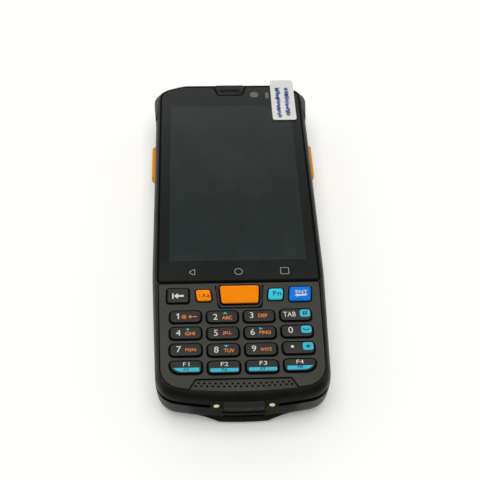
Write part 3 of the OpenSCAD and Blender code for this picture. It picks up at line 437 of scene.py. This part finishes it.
def softened(node, width, paint, sharp):
    # a copy of a solid with its edges broken, as a mould leaves them; paint gives each face its finish
    bm = mergedCopy(node)
    if node in crowns:
        for v in bm.verts:
            v.co.x += math.copysign(crowns[node], v.co.x) if abs(v.co.x) > crownFrom else 0
    if node in tucks:
        tuck(bm, tucks[node])
    own = finishOf[slotOf[node]]
    used = [own]
    if paint:
        for face in bm.faces:
            key = paint(face.calc_center_median(), face.normal) or own
            if key not in used:
                used.append(key)
            face.material_index = used.index(key)
    made = addPiece(node + "_skin", finishMesh(bm, node + "_skin", sharp), bodyOf[node], used)
    edge = made.modifiers.new("softEdges", "BEVEL")
    edge.width, edge.segments = width, edgeSteps
    edge.limit_method, edge.angle_limit = "ANGLE", math.radians(sharp)
    edge.use_clamp_overlap = True
    edge.harden_normals = True
    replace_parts(made, node)


glassLow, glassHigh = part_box("front_glass")
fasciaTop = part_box("keypad_fascia")[1].z
seat = {"reach": 0.7 * mm, "headReach": 2 * mm, "under": 0.1 * mm, "upright": 0.15, "flat": 0.99}


def seatShade(middle, normal):
    # painted shade: the walls and floor of the gap round the glass take the near-black finish, as they lie in
    # the dark
    within = abs(middle.x) < glassHigh.x + seat["reach"] and middle.y > glassLow.y - seat["reach"]
    inside = within and middle.y < glassHigh.y + seat["headReach"] and middle.z > glassLow.z - seat["under"]
    flatFloor = normal.z > seat["flat"] and middle.z < glassLow.z + seat["under"]
    return "blackAndShade" if inside and (abs(normal.z) < seat["upright"] or flatFloor) else None


# how steep and how deep a key's colour reaches
darkCap, brightCap = (0.6, 0.5 * mm), (0.3, 0.7 * mm)


def capped(node, slope, depth):
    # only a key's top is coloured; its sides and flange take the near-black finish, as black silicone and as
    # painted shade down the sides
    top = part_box(node)[1].z
    return lambda middle, normal: None if normal.z > slope and middle.z > top - depth else "blackAndShade"


grooveDepth = (0.32 * mm, 0.4 * mm)


def fasciaShade(middle, normal):
    # painted shade: the openings' walls and the floor of the groove round the scan key take the near-black
    # finish
    inGroove = normal.z > 0.9 and grooveDepth[0] < fasciaTop - middle.z < grooveDepth[1]
    return "blackAndShade" if abs(normal.z) < 0.3 or inGroove else None


def lensFace(middle, normal):
    return "lens" if middle.z < 1 * mm else None


def hatchedFace(middle, normal):
    return "grip" if normal.z < -0.99 and middle.z < 0.1 * mm else None


# the side keys' faces stand out in a slight crown
crowns = {"left_scan_key": 0.5 * mm, "right_scan_key": 0.6 * mm}
crownFrom = min(-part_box("left_scan_key")[0].x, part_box("right_scan_key")[1].x) - 0.5 * mm
tucks = {"left_bumper": 1.04 * mm, "right_bumper": 1.04 * mm}
edgeSteps = 2
# how wide each solid's edges are broken, in mm
edges = {"front_housing": 0.12, "rear_housing": 0.12, "keypad_fascia": 0.08, "left_bumper": 0.1,
         "right_bumper": 0.1, "usb_cover": 0.2, "earpiece_cover": 0.08, "left_scan_key": 0.25,
         "right_scan_key": 0.25, "power_key": 0.2, "battery_latch": 0.1, "battery_cover": 0.1,
         "rear_camera": 0.08, "front_glass": 0.06, "flash_led": 0.1, "scan_window": 0.08}
paints = {"front_housing": seatShade, "rear_camera": lensFace, "keypad_fascia": fasciaShade,
          "battery_cover": hatchedFace}
for name in nodes:
    if name.startswith("key_"):
        edges[name] = 0.1
        paints[name] = capped(name, *(darkCap if finishOf[slotOf[name]] == "key" else brightCap))
creaseFrom = {"battery_cover": 8}  # degrees; its finger scoop meets the flat at a low angle
for name, width in edges.items():
    softened(name, width * mm, paints.get(name), creaseFrom.get(name, 30))
print("edges softened:", len(edges))


def filmSheet(lift):
    # the film's copy floats a hair above the glass, so that the two faces don't coincide
    bm = mergedCopy("screen_film")
    for v in bm.verts:
        v.co.z += lift if v.co.z < filmTop - lift else 0
    mesh = finishMesh(bm, "screen_film_sheet")
    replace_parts(addPiece("screen_film_sheet", mesh, "housing", ["film"]), "screen_film")


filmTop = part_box("screen_film")[1].z
filmSheet(0.03 * mm)


def outlineMesh(bm, points, z0, z1, material):
    # a flat shape given by its corners, raised from z0 to z1
    lower = [bm.verts.new((x, y, z0)) for x, y in points]
    upper = [bm.verts.new((x, y, z1)) for x, y in points]
    made = [bm.faces.new(upper), bm.faces.new(lower[::-1])]
    for i in range(len(points)):
        j = (i + 1) % len(points)
        made.append(bm.faces.new((lower[i], lower[j], upper[j], upper[i])))
    for face in made:
        face.material_index = material


def arc(x, y, wide, high, angles):
    # points on an ellipse round x and y, at angles in degrees
    return [(x + wide * math.cos(math.radians(a)), y + high * math.sin(math.radians(a))) for a in angles]


def roundedBox(x, y, w, h, r, steps=4):
    corners = [(x + w / 2 - r, y + h / 2 - r, 0), (x - w / 2 + r, y + h / 2 - r, 90),
               (x - w / 2 + r, y - h / 2 + r, 180), (x + w / 2 - r, y - h / 2 + r, 270)]
    return [point for cx, cy, turn in corners
            for point in arc(cx, cy, r, r, [turn + 90 * k / steps for k in range(steps + 1)])]


def arrowHead(x, y, w, h, turn):
    corners = [(-w / 2, -h / 2), (w / 2, -h / 2), (0, h / 2)]
    c, s = math.cos(math.radians(turn)), math.sin(math.radians(turn))
    return [(x + px * c - py * s, y + px * s + py * c) for px, py in corners]


def star(x, y, r, waist=0.42):
    turns = [(math.radians(90 + 36 * k), r if k % 2 == 0 else r * waist) for k in range(10)]
    return [(x + reach * math.cos(a), y + reach * math.sin(a)) for a, reach in turns]


def numeralOne(x, y, h):
    # a figure one with a flag, of the height h
    corners = [(0.0, -0.5), (0.16, -0.5), (0.16, 0.5), (0.03, 0.5), (-0.21, 0.31), (-0.21, 0.17), (0.0, 0.31)]
    return [(x + px * h, y + py * h) for px, py in corners]


def quarterBand(side):
    # the coloured band of an outer key follows the key's large rounded corner
    low = [(x, y) for x, y in arc(-1.1, 1.55, -3.6, -3.2, range(20, 91, 10)) if y < -0.15]
    points = [(4.6, -0.1), (-4.45, -0.1)] + low + [(4.6, -1.65)]
    return [(side * x, y) for x, y in (points if side > 0 else points[::-1])]


def letters(bm, text, x, y, height, z0, z1, material, width, weight):
    # a word as raised print, its capitals of the given height, centred on x and y
    curve = bpy.data.curves.new("word", "FONT")
    curve.body, curve.align_x, curve.align_y = text, "CENTER", "CENTER"
    curve.offset, curve.extrude, curve.resolution_u = weight, 0.5, 4
    word = bpy.data.objects.new("word", curve)
    bpy.context.scene.collection.objects.link(word)
    bpy.context.view_layer.update()
    mesh = bpy.data.meshes.new_from_object(word.evaluated_get(bpy.context.evaluated_depsgraph_get()))
    xs = [v.co.x for v in mesh.vertices]
    ys = [v.co.y for v in mesh.vertices]
    tall = height / (max(ys) - min(ys))
    wide = width / (max(xs) - min(xs)) if width else tall
    for v in mesh.vertices:
        v.co = ((v.co.x - (max(xs) + min(xs)) / 2) * wide + x, (v.co.y - (max(ys) + min(ys)) / 2) * tall + y,
                z1 if v.co.z > 0 else z0)
    first = len(bm.faces)
    bm.from_mesh(mesh)
    bm.faces.ensure_lookup_table()
    for face in bm.faces[first:]:
        face.material_index = material
    bpy.data.objects.remove(word)
    bpy.data.curves.remove(curve)
    bpy.data.meshes.remove(mesh)


inks = ["white", "orange", "cyan", "teal", "brown"]
# words on each key: text, place from the key's middle, height and width in mm (0 keeps the letters' own), ink
words = {
    "key_1": [("@", -0.65, 0.1, 1.75, 0, "orange")],
    "key_2": [("2", -2.6, 0.15, 2.5, 0, "white"), ("ABC", 1.55, -0.35, 1.5, 3.6, "orange")],
    "key_3": [("3", -2.8, 0.6, 2.5, 0, "white"), ("DEF", 1.25, 0.35, 1.5, 3.3, "orange")],
    "key_tab": [("TAB", -2.3, 0.4, 2.1, 4.5, "white"), ("#", 3.3, 0.85, 2.1, 1.9, "teal")],
    "key_4": [("4", -2.7, 0.3, 2.5, 0, "white"), ("GHI", 1.45, -0.1, 1.5, 3.5, "orange")],
    "key_5": [("5", -2.6, 0.3, 2.5, 0, "white"), ("JKL", 1.4, 0.05, 1.5, 3.2, "orange")],
    "key_6": [("6", -2.75, 0.4, 2.5, 0, "white"), ("MNO", 1.7, 0.1, 1.5, 4.1, "orange")],
    "key_0": [("0", -2.4, 0.65, 2.6, 0, "white")],
    "key_7": [("7", -2.5, 0.5, 2.5, 0, "white"), ("PQRS", 1.7, 0.1, 1.3, 3.8, "orange")],
    "key_8": [("8", -2.6, 0.3, 2.5, 0, "white"), ("TUV", 1.85, -0.15, 1.6, 3.6, "orange")],
    "key_9": [("9", -2.6, 0.5, 2.5, 0, "white"), ("WXYZ", 1.65, 0.1, 1.3, 4.0, "orange")],
    "key_dot": [],
    "key_f1": [("F", -0.55, 1.35, 1.6, 0, "white"), ("F5", 0.1, -0.9, 1.0, 1.8, "teal")],
    "key_f2": [("F2", 0.1, 1.4, 1.6, 2.6, "white"), ("F6", 0.1, -0.9, 1.1, 1.8, "teal")],
    "key_f3": [("F3", 0.35, 1.55, 1.6, 2.6, "white"), ("F7", 0.2, -0.8, 1.1, 1.8, "teal")],
    "key_f4": [("F4", -0.1, 1.45, 1.6, 2.5, "white"), ("F8", -0.2, -0.65, 1.1, 1.8, "teal")],
    "key_shift": [("A", 0.0, 0.0, 1.7, 1.5, "brown"), ("a", 1.55, -0.2, 1.3, 1.2, "brown")],
    "key_fn": [("F", -0.4, 0.4, 1.9, 1.3, "teal"), ("n", 1.25, 0.15, 1.4, 1.3, "teal")],
    "key_enter": [("ENT", 0.45, 0.95, 1.5, 4.3, "white")],
    "key_backspace": []}

# filled shapes on each key: corners from the key's middle in mm, ink
shapes = {
    "key_1": [(numeralOne(-2.85, 0.4, 2.5), "white"), (roundedBox(1.6, 0.1, 1.45, 0.38, 0.1), "orange"),
              (roundedBox(1.6, 0.1, 0.38, 1.45, 0.1), "orange"),
              (roundedBox(3.3, 0.1, 1.35, 0.38, 0.1), "orange")],
    "key_2": [(arrowHead(0.9, 1.75, 1.7, 0.85, 0), "cyan")],
    "key_4": [(arrowHead(0.5, 1.75, 1.2, 1.1, 90), "cyan")],
    "key_6": [(arrowHead(0.3, 1.75, 1.2, 1.1, -90), "cyan")],
    "key_8": [(arrowHead(0.9, 1.7, 1.7, 0.85, 180), "cyan")],
    "key_tab": [(roundedBox(3.3, 0.75, 3.7, 3.2, 0.9), "cyan")],
    "key_0": [(roundedBox(3.2, 0.8, 3.7, 3.1, 0.9), "cyan"),
              ([(2.0, 1.35), (2.3, 0.45), (4.1, 0.45), (4.4, 1.35), (4.05, 1.35), (3.85, 0.8), (2.55, 0.8),
                (2.35, 1.35)], "teal")],
    "key_dot": [(roundedBox(3.25, 0.75, 3.7, 3.2, 0.9), "cyan"),
                (roundedBox(-2.3, 0.7, 1.1, 1.1, 0.54), "white"), (star(3.25, 0.75, 1.1), "teal")],
    "key_f1": [(quarterBand(1), "cyan"), (numeralOne(0.95, 1.35, 1.6), "white")],
    "key_shift": [(numeralOne(-1.6, -0.05, 1.3), "brown")],
    "key_f2": [(roundedBox(0, -0.95, 9.7, 1.4, 0.3), "cyan")],
    "key_f3": [(roundedBox(0.1, -0.85, 9.7, 1.4, 0.3), "cyan")],
    "key_f4": [(quarterBand(-1), "cyan")],
    "key_backspace": [(roundedBox(-1.95, 0, 0.5, 2.5, 0.1), "white"),
                      (arrowHead(-0.85, 0, 2.5, 1.5, 90), "white"),
                      (roundedBox(0.85, 0, 2.4, 0.85, 0.15), "white")],
    "key_enter": [([(-2.2, -0.6), (-1.1, 0.05), (-1.1, -0.25), (2.5, 0.0), (2.0, -0.8), (-1.1, -0.95),
                    (-1.1, -1.3)], "white")]}
# each later shape on a key lies a little higher, and words lie over them; coloured words are bolder
ink = {"depth": 0.03 * mm, "layer": 0.2, "words": 1.8, "bolder": 0.014, "shift": Vector((0.1, -0.3, 0)) * mm}


def printKey(name, s):
    low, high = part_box(name)
    middle, sunk = (low + high) / 2 + s["shift"], high.z - s["depth"]
    bm = bmesh.new()
    for layer, (points, colour) in enumerate(shapes.get(name, [])):
        placed = [(middle.x + x * mm, middle.y + y * mm) for x, y in points]
        outlineMesh(bm, placed, sunk, high.z + s["depth"] * (1 + s["layer"] * layer), inks.index(colour))
    for text, x, y, height, width, colour in words[name]:
        letters(bm, text, middle.x + x * mm, middle.y + y * mm, height * mm, sunk,
                high.z + s["depth"] * s["words"], inks.index(colour), width * mm,
                0.0 if colour == "white" else s["bolder"])
    addPiece(name + "_print", finishMesh(bm, name + "_print"), name, inks)


for name in words:
    printKey(name, ink)
print("legends printed:", len(words))


def sides(points):
    # the sideways direction at each point of a closed outline, and how far a corner stretches it
    result = []
    for i, (x, y) in enumerate(points):
        ax, ay = points[i - 1]
        bx, by = points[(i + 1) % len(points)]
        into, out = Vector((x - ax, y - ay)).normalized(), Vector((bx - x, by - y)).normalized()
        side = Vector((-(into + out).y, (into + out).x)).normalized()
        result.append((side, 1 / max(side.dot(Vector((-into.y, into.x))), 0.3)))
    return result


def outerLoop(node, level):
    # the outline of a solid at one height, where an upright wall meets a face that looks up
    bm = mergedCopy(node)
    ring = {}
    for edge in bm.edges:
        atLevel = all(abs(v.co.z - level) < 0.01 * mm for v in edge.verts)
        tilts = sorted(face.normal.z for face in edge.link_faces)
        if atLevel and len(tilts) == 2 and abs(tilts[0]) < 0.3 and tilts[1] > 0.3:
            one, other = edge.verts
            ring.setdefault(one.index, []).append(other.index)
            ring.setdefault(other.index, []).append(one.index)
    bm.verts.ensure_lookup_table()
    first = max(ring, key=lambda i: bm.verts[i].co.x)
    path = [first, ring[first][0]]
    while path[-1] != first:
        path.append([i for i in ring[path[-1]] if i != path[-2]][0])
    points = [(bm.verts[i].co.x, bm.verts[i].co.y) for i in path[:-1]]
    bm.free()
    area = sum(points[i - 1][0] * points[i][1] - points[i][0] * points[i - 1][1] for i in range(len(points)))
    return points if area > 0 else points[::-1]


def beadMesh(bm, points, section):
    # a bead swept round a closed outline; its section is given as [outwards, height]
    rows = [[bm.verts.new((x - side.x * stretch * out, y - side.y * stretch * out, height))
             for out, height in section] for (x, y), (side, stretch) in zip(points, sides(points))]
    for i, here in enumerate(rows):
        there = rows[(i + 1) % len(rows)]
        for k in range(len(section)):
            after = (k + 1) % len(section)
            bm.faces.new((here[k], here[after], there[after], there[k]))


def softPolygon(corners, r, steps=4):
    # a closed outline whose corners are rounded to the radius r
    result = []
    for i, corner in enumerate(corners):
        p = Vector(corner)
        u = (Vector(corners[i - 1]) - p).normalized()
        v = (Vector(corners[(i + 1) % len(corners)]) - p).normalized()
        half = u.angle(v) / 2
        centre = p + (u + v).normalized() * r / math.sin(half)
        start, end = p + u * r / math.tan(half) - centre, p + v * r / math.tan(half) - centre
        turn = start.angle_signed(end)
        for k in range(steps + 1):
            a = -turn * k / steps
            result.append((centre.x + start.x * math.cos(a) - start.y * math.sin(a),
                           centre.y + start.x * math.sin(a) + start.y * math.cos(a)))
    return result


icons = {"y": -48.75 * mm, "spread": 17.25 * mm, "line": 0.23 * mm, "lift": 0.02 * mm,
         "tip": 1.3 * mm, "tail": 0.95 * mm, "rise": 1.65 * mm, "tipRound": 0.35 * mm,
         "ring": 1.42 * mm, "square": 1.5 * mm, "squareRound": 0.3 * mm}


def screenIcons(s):
    y, x, half, side = screen["middle"] + s["y"], s["spread"], s["line"] / 2, s["square"]
    tail = -x + s["tail"]
    back = softPolygon([(-x - s["tip"], y), (tail, y - s["rise"]), (tail, y + s["rise"])], s["tipRound"])
    home = arc(0, y, s["ring"], s["ring"], range(0, 360, 12))
    corners = [(x + i * side, y + j * side) for i, j in ((-1, -1), (1, -1), (1, 1), (-1, 1))]
    recent = softPolygon(corners, s["squareRound"])
    low, high = filmTop - s["lift"], filmTop + s["lift"]
    bm = bmesh.new()
    for points in (back, home, recent):
        beadMesh(bm, points, [(-half, low), (half, low), (half, high), (-half, high)])
    addPiece("screen_icons", finishMesh(bm, "screen_icons"), "housing", ["icon"])


screenIcons(icons)

# what shows through the clear windows in the glass's black print
windows = {"lift": 0.02 * mm, "drop": 0.35 * mm, "cameraRadius": 1.85 * mm,
           "sensor": (1.5 * mm, 4.0 * mm, 0.7 * mm)}  # width, length and corner radius


def sensorWindows(s):
    cameraLow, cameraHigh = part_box("front_camera")
    sensorLow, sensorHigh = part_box("light_sensor")
    lens, sensor = (cameraLow + cameraHigh) / 2, (sensorLow + sensorHigh) / 2
    disc = arc(lens.x, lens.y - s["drop"], s["cameraRadius"], s["cameraRadius"], range(0, 360, 12))
    bm = bmesh.new()
    for points in (disc, roundedBox(sensor.x, sensor.y - s["drop"], *s["sensor"])):
        outlineMesh(bm, points, filmTop - s["lift"], filmTop + s["lift"], 0)
    addPiece("sensor_windows", finishMesh(bm, "sensor_windows"), "housing", ["sensorGrey"])


sensorWindows(windows)
print("screen marks drawn")

# black rubber beads round each key, the fascia and the glass, which also stand in as painted shade in the
# gaps; sizes in mm from the outline
lips = {"keyIn": 0.04, "keyOut": 0.52, "keyLift": 0.05, "shoulder": 0.45, "seamIn": -0.28, "seamOut": 0.13,
        "seamLift": 0.03, "sealIn": -0.25, "sealOut": 0.44, "sealLift": 0.03, "deep": 0.3,
        "scanIn": 0.62, "scanOut": 1.4, "scanSunk": 0.03, "scanRise": 0.3}


def flatSection(inner, outer, low, high):
    return [(inner * mm, low), (outer * mm, low), (outer * mm, high), (inner * mm, high)]


def rubberLipsAndShade(s):
    bm = bmesh.new()
    # black beads round each key's opening: rubber lips, and painted shade in the gaps
    for name in nodes:
        if name.startswith("key_"):
            outline = outerLoop(name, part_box(name)[1].z - s["shoulder"] * mm)
            beadMesh(bm, outline, flatSection(s["keyIn"], s["keyOut"], fasciaTop - s["deep"] * mm,
                                              fasciaTop + s["keyLift"] * mm))
    addPiece("key_lips_and_shade", finishMesh(bm, "key_lips_and_shade"), "housing", ["blackAndShade"])
    # black beads along the fascia's edge and round the glass: seals, and painted shade in those gaps
    bm = bmesh.new()
    seamTop, glassTop = fasciaTop + s["seamLift"] * mm, glassHigh.z + s["sealLift"] * mm
    beadMesh(bm, outerLoop("keypad_fascia", fasciaTop),
             flatSection(s["seamIn"], s["seamOut"], fasciaTop - s["deep"] * mm, seamTop))
    beadMesh(bm, outerLoop("front_glass", glassHigh.z),
             flatSection(s["sealIn"], s["sealOut"], glassTop - s["deep"] * mm, glassTop))
    addPiece("black_seals_and_shade", finishMesh(bm, "black_seals_and_shade"), "housing", ["blackAndShade"])
    middle, half = (s["scanIn"] + s["scanOut"]) / 2 * mm, (s["scanOut"] - s["scanIn"]) / 2 * mm
    arch = arc(middle, fasciaTop - s["scanSunk"] * mm, half, s["scanRise"] * mm, range(0, 181, 20))
    bm = bmesh.new()
    beadMesh(bm, outerLoop("key_scan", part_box("key_scan")[1].z - s["shoulder"] * mm), arch)
    addPiece("scan_key_lip", finishMesh(bm, "scan_key_lip", 60), "housing", ["gloss"])


rubberLipsAndShade(lips)


class Repeat(Graph):
    # a tree with named inputs that ends in Realize Instances and Set Material
    def __init__(self, name, inputs):
        super().__init__(bpy.data.node_groups.new(name, "GeometryNodeTree"))
        self.inputs = inputs
        self.tree.interface.new_socket("Geometry", in_out="OUTPUT", socket_type="NodeSocketGeometry")
        for label, value in inputs.items():
            kind = "NodeSocketInt" if isinstance(value, int) else "NodeSocketFloat"
            self.tree.interface.new_socket(label, in_out="INPUT", socket_type=kind)
        self.group = self.tree.nodes.new("NodeGroupInput")

    def given(self, label):
        return Socket(self, self.group.outputs[label])

    def vector(self, x, y, z):
        return self.node("ShaderNodeCombineXYZ", {}, {0: x, 1: y, 2: z})

    def random(self, low, high, seed):
        return self.node("FunctionNodeRandomValue", {"data_type": "FLOAT"}, {2: low, 3: high, 8: seed}, 1)

    def instances(self, points, shape, scale):
        inputs = {"Points": points, "Instance": shape, "Scale": scale}
        return self.node("GeometryNodeInstanceOnPoints", {}, inputs)

    def join(self, first, second):
        made = self.tree.nodes.new("GeometryNodeJoinGeometry")
        for part in (first, second):
            self.tree.links.new(part.link, made.inputs[0])
        return Socket(self, made.outputs[0])

    def finish(self, geometry, finish):
        real = self.node("GeometryNodeRealizeInstances", {}, {0: geometry})
        painted = self.node("GeometryNodeSetMaterial", {}, {"Geometry": real, "Material": finishes[finish]})
        result = self.tree.nodes.new("NodeGroupOutput")
        self.tree.links.new(painted.link, result.inputs[0])

    def grow(self, name):
        # the tree's result as a plain mesh
        holder = bpy.data.objects.new(name, bpy.data.meshes.new(name))
        bpy.context.scene.collection.objects.link(holder)
        modifier = holder.modifiers.new("grow", "NODES")
        modifier.node_group = self.tree
        for item in self.tree.interface.items_tree:
            if item.in_out == "INPUT":
                modifier[item.identifier] = self.inputs[item.name]
        mesh = bpy.data.meshes.new_from_object(holder.evaluated_get(bpy.context.evaluated_depsgraph_get()))
        holder.modifiers.remove(modifier)
        bpy.data.objects.remove(holder)
        for face in mesh.polygons:
            face.use_smooth = True
        return mesh


# raised dots on the scan key, in staggered rows that narrow with the key
dots = {"Width": 12.9 * mm, "Length": 6.3 * mm, "Narrowing": 0.09, "Pitch": 0.56 * mm, "Radius": 0.17 * mm,
        "Height": 0.07 * mm}


def scanDots(s):
    low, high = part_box("key_scan")
    r = Repeat("staggered_dots", {**s, "Along": (low.y + high.y) / 2, "Level": high.z - 0.01 * mm})
    rowPitch = r.given("Pitch") * 0.866
    rows = (r.given("Length") / rowPitch).floored() + 1.0
    columns = (r.given("Width") / r.given("Pitch")).floored() + 1.0
    long = (rows - 1.0) * rowPitch
    grid = r.node("GeometryNodeMeshGrid", {}, {
        "Size X": (columns - 1.0) * r.given("Pitch"), "Size Y": long,
        "Vertices X": columns, "Vertices Y": rows})
    here = r.node("GeometryNodeInputPosition", {}, {})
    x, y = r.part(here, "X"), r.part(here, "Y")
    row = ((y + long * 0.5) / rowPitch + 0.5).floored()
    pushed = x + (row % 2.0 - 0.5) * r.given("Pitch") * 0.5
    narrowed = pushed * (1.0 - r.given("Narrowing") * (0.5 - y / long))
    moved = r.vector(narrowed, y + r.given("Along"), r.given("Level"))
    placed = r.node("GeometryNodeSetPosition", {}, {"Geometry": grid, "Position": moved})
    dot = r.node("GeometryNodeMeshCone", {}, {
        "Vertices": 8, "Radius Top": r.given("Radius") * 0.45, "Radius Bottom": r.given("Radius"),
        "Depth": r.given("Height")})
    r.finish(r.instances(placed, dot, (1.0, 1.0, 1.0)), "orangeKey")
    addPiece("scan_key_dots", r.grow("scan_key_dots"), "key_scan", [])


scanDots(dots)

# fine woven mesh in the earpiece slot
weave = {"Width": 8.4 * mm, "Length": 2.0 * mm, "Pitch": 0.28 * mm, "Wire": 0.1 * mm}


def earpieceWeave(s):
    low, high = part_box("earpiece_mesh")
    r = Repeat("woven_mesh", {**s, "Along": (low.y + high.y) / 2, "Level": high.z})
    across = (r.given("Width") / r.given("Pitch")).floored()
    along = (r.given("Length") / r.given("Pitch")).floored()
    pitch, thick = r.given("Pitch"), r.given("Wire")
    parts = []
    for count, step, size in ((across, (pitch, 0.0, 0.0), (thick, r.given("Length"), thick)),
                              (along, (0.0, pitch, 0.0), (r.given("Width"), thick, thick))):
        step, size = r.vector(*step), r.vector(*size)
        half = r.node("ShaderNodeVectorMath", {"operation": "SCALE"}, {0: step, "Scale": (1.0 - count) * 0.5})
        middle = r.vector(0.0, r.given("Along"), r.given("Level"))
        start = r.node("ShaderNodeVectorMath", {"operation": "ADD"}, {0: half, 1: middle})
        line = r.node("GeometryNodeMeshLine", {"mode": "OFFSET"}, {
            "Count": count, "Start Location": start, "Offset": step})
        wire = r.node("GeometryNodeMeshCube", {}, {"Size": size})
        parts.append(r.instances(line, wire, (1.0, 1.0, 1.0)))
    r.finish(r.join(*parts), "module")
    addPiece("earpiece_weave", r.grow("earpiece_weave"), "housing", [])


earpieceWeave(weave)

# the pull tab, a little lifted at its free lower end, with two columns of plain strokes,
# each given from the tab's lower corner: x, y and length in mm
pull = {"lift": 0.35 * mm, "reach": 7 * mm, "cuts": 24, "columns": [(3.0, 1.6, 20.0), (6.9, 3.0, 18.6)]}
strokes = {"Pitch": 0.46 * mm, "Wide": 2.2 * mm, "Thin": 0.36 * mm, "Depth": 0.02 * mm}


def pullTab(s):
    low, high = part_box("peel_tab")

    def lifted(y):
        t = max(0.0, 1 - (y - low.y) / s["reach"])
        return s["lift"] * t * t

    bm = mergedCopy("peel_tab")
    for i in range(1, s["cuts"]):
        place = Vector((0, low.y + (high.y - low.y) * i / s["cuts"], 0))
        everything = bm.verts[:] + bm.edges[:] + bm.faces[:]
        bmesh.ops.bisect_plane(bm, geom=everything, plane_co=place, plane_no=(0, 1, 0))
    for v in bm.verts:
        v.co.z += lifted(v.co.y)
    sheet = addPiece("pull_tab_film", finishMesh(bm, "pull_tab_film"), "housing", ["tab"])
    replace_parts(sheet, "peel_tab")
    for number, (x, y, length) in enumerate(s["columns"]):
        r = Repeat("stroke_column", {
            **strokes, "Length": length * mm, "Across": low.x + x * mm, "Along": low.y + y * mm,
            "Level": high.z, "Seed": 3 + number})
        count = (r.given("Length") / r.given("Pitch")).floored()
        line = r.node("GeometryNodeMeshLine", {"mode": "OFFSET"}, {
            "Count": count, "Start Location": r.vector(r.given("Across"), r.given("Along"), r.given("Level")),
            "Offset": r.vector(0.0, r.given("Pitch"), 0.0)})
        sideways = (r.random(0.0, 1.0, r.given("Seed")) - 0.5) * r.given("Wide") * 0.3
        offset = r.vector(sideways, 0.0, 0.0)
        shaken = r.node("GeometryNodeSetPosition", {}, {"Geometry": line, "Offset": offset})
        stroke = r.node("GeometryNodeMeshCube", {}, {"Size": r.vector(1.0, 1.0, 1.0)})
        wide = r.given("Wide") * r.random(0.4, 1.0, r.given("Seed") + 20.0)
        thin = r.given("Thin") * r.random(0.6, 1.7, r.given("Seed") + 40.0)
        r.finish(r.instances(shaken, stroke, r.vector(wide, thin, r.given("Depth"))), "tabInk")
        name = "tab_strokes_%d" % (number + 1)
        mesh = r.grow(name)
        for v in mesh.vertices:
            v.co.z += lifted(v.co.y)
        addPiece(name, mesh, "housing", [])


pullTab(pull)
print("dots, mesh and tab made")

camera = {"place": (-0.014256, -0.251159, 0.299404), "look": (0.04146, 0.64614, -0.76209),
          "up": (0.01587, 0.76222, 0.64712), "lens": 72.63, "sensor": 36.0}
# the room is white near the floor and dim overhead and behind the camera; the dim part starts higher ahead
studio = {"floorSize": 6.0, "floorColour": (0.85, 0.846, 0.815, 1.0), "floorGlow": 0.25,
          "wall": 1.1, "ceiling": 0.13, "edge": 0.52, "ahead": 0.18, "aside": -0.08, "blur": 0.26,
          "behind": 0.2, "behindFrom": -0.1, "behindBlur": 0.6,
          "lampPlace": (-0.03, 0.0, 1.1), "lampSize": 1.1, "lampPower": 9.1}


def makeCamera(s):
    data = bpy.data.cameras.new("camera")
    data.lens, data.sensor_width = s["lens"], s["sensor"]
    data.clip_start, data.clip_end = 0.01, 20
    made = bpy.data.objects.new("camera", data)
    back = -Vector(s["look"]).normalized()
    right = Vector(s["up"]).cross(back).normalized()
    turned = Matrix((right, back.cross(right), back)).transposed()
    made.matrix_world = Matrix.Translation(s["place"]) @ turned.to_4x4()
    bpy.context.scene.collection.objects.link(made)
    bpy.context.scene.camera = made


def seenDirectly(graph):
    # 1 for what the camera, a gloss or a clear piece looks at, 0 for what only lights the object
    rays = [graph.node("ShaderNodeLightPath", {}, {}, name)
            for name in ("Is Camera Ray", "Is Glossy Ray", "Is Transmission Ray")]
    return (rays[0] + rays[1] + rays[2]).clamped()


def makeFloor(s):
    half = s["floorSize"] / 2
    mesh = bpy.data.meshes.new("floor")
    corners = [(-half, -half, 0), (half, -half, 0), (half, half, 0), (-half, half, 0)]
    mesh.from_pydata(corners, [], [(0, 1, 2, 3)])
    floor = bpy.data.objects.new("floor", mesh)
    bpy.context.scene.collection.objects.link(floor)
    f = Finish("paper_floor")
    glow = s["floorGlow"]
    mesh.materials.append(f.surface({
        "Base Color": f.mix(f.noise(0.3, 1.0), shade(s["floorColour"], 0.99), s["floorColour"]),
        "Emission Color": f.mix(seenDirectly(f), (0, 0, 0, 1), (glow, glow, glow, 1)),
        "Emission Strength": 1.0, "Roughness": 0.9, "Specular IOR Level": 0.1}))


def makeRoom(s):
    world = bpy.data.worlds.new("room")
    bpy.context.scene.world = world
    world.use_nodes = True
    g = Graph(world.node_tree)
    g.tree.nodes.clear()
    way = g.node("ShaderNodeTexCoord", {}, {}, "Generated")
    edge = g.part(way, "Y") * s["ahead"] + g.part(way, "X") * s["aside"] + s["edge"]
    low = g.smooth((edge - g.part(way, "Z")) * (1 / s["blur"]) + 0.5)
    facing = g.smooth((g.part(way, "Y") - s["behindFrom"]) * (1 / s["behindBlur"]) + 1.0)
    wall = facing * (s["wall"] - s["behind"]) + s["behind"]
    strength = low * (wall - s["ceiling"]) + s["ceiling"]
    room = g.node("ShaderNodeBackground", {}, {"Color": (1, 1, 1, 1), "Strength": strength})
    g.node("ShaderNodeOutputWorld", {}, {"Surface": room})


def makeLamp(s):
    lamp = bpy.data.lights.new("softbox", "AREA")
    lamp.size, lamp.energy = s["lampSize"], s["lampPower"]
    made = bpy.data.objects.new("softbox", lamp)
    turned = Vector(s["lampPlace"]).to_track_quat("Z", "Y").to_matrix().to_4x4()
    made.matrix_world = Matrix.Translation(s["lampPlace"]) @ turned
    bpy.context.scene.collection.objects.link(made)


makeCamera(camera)
makeFloor(studio)
makeRoom(studio)
makeLamp(studio)
bpy.context.scene.view_settings.view_transform = "Standard"
print("camera and light placed")
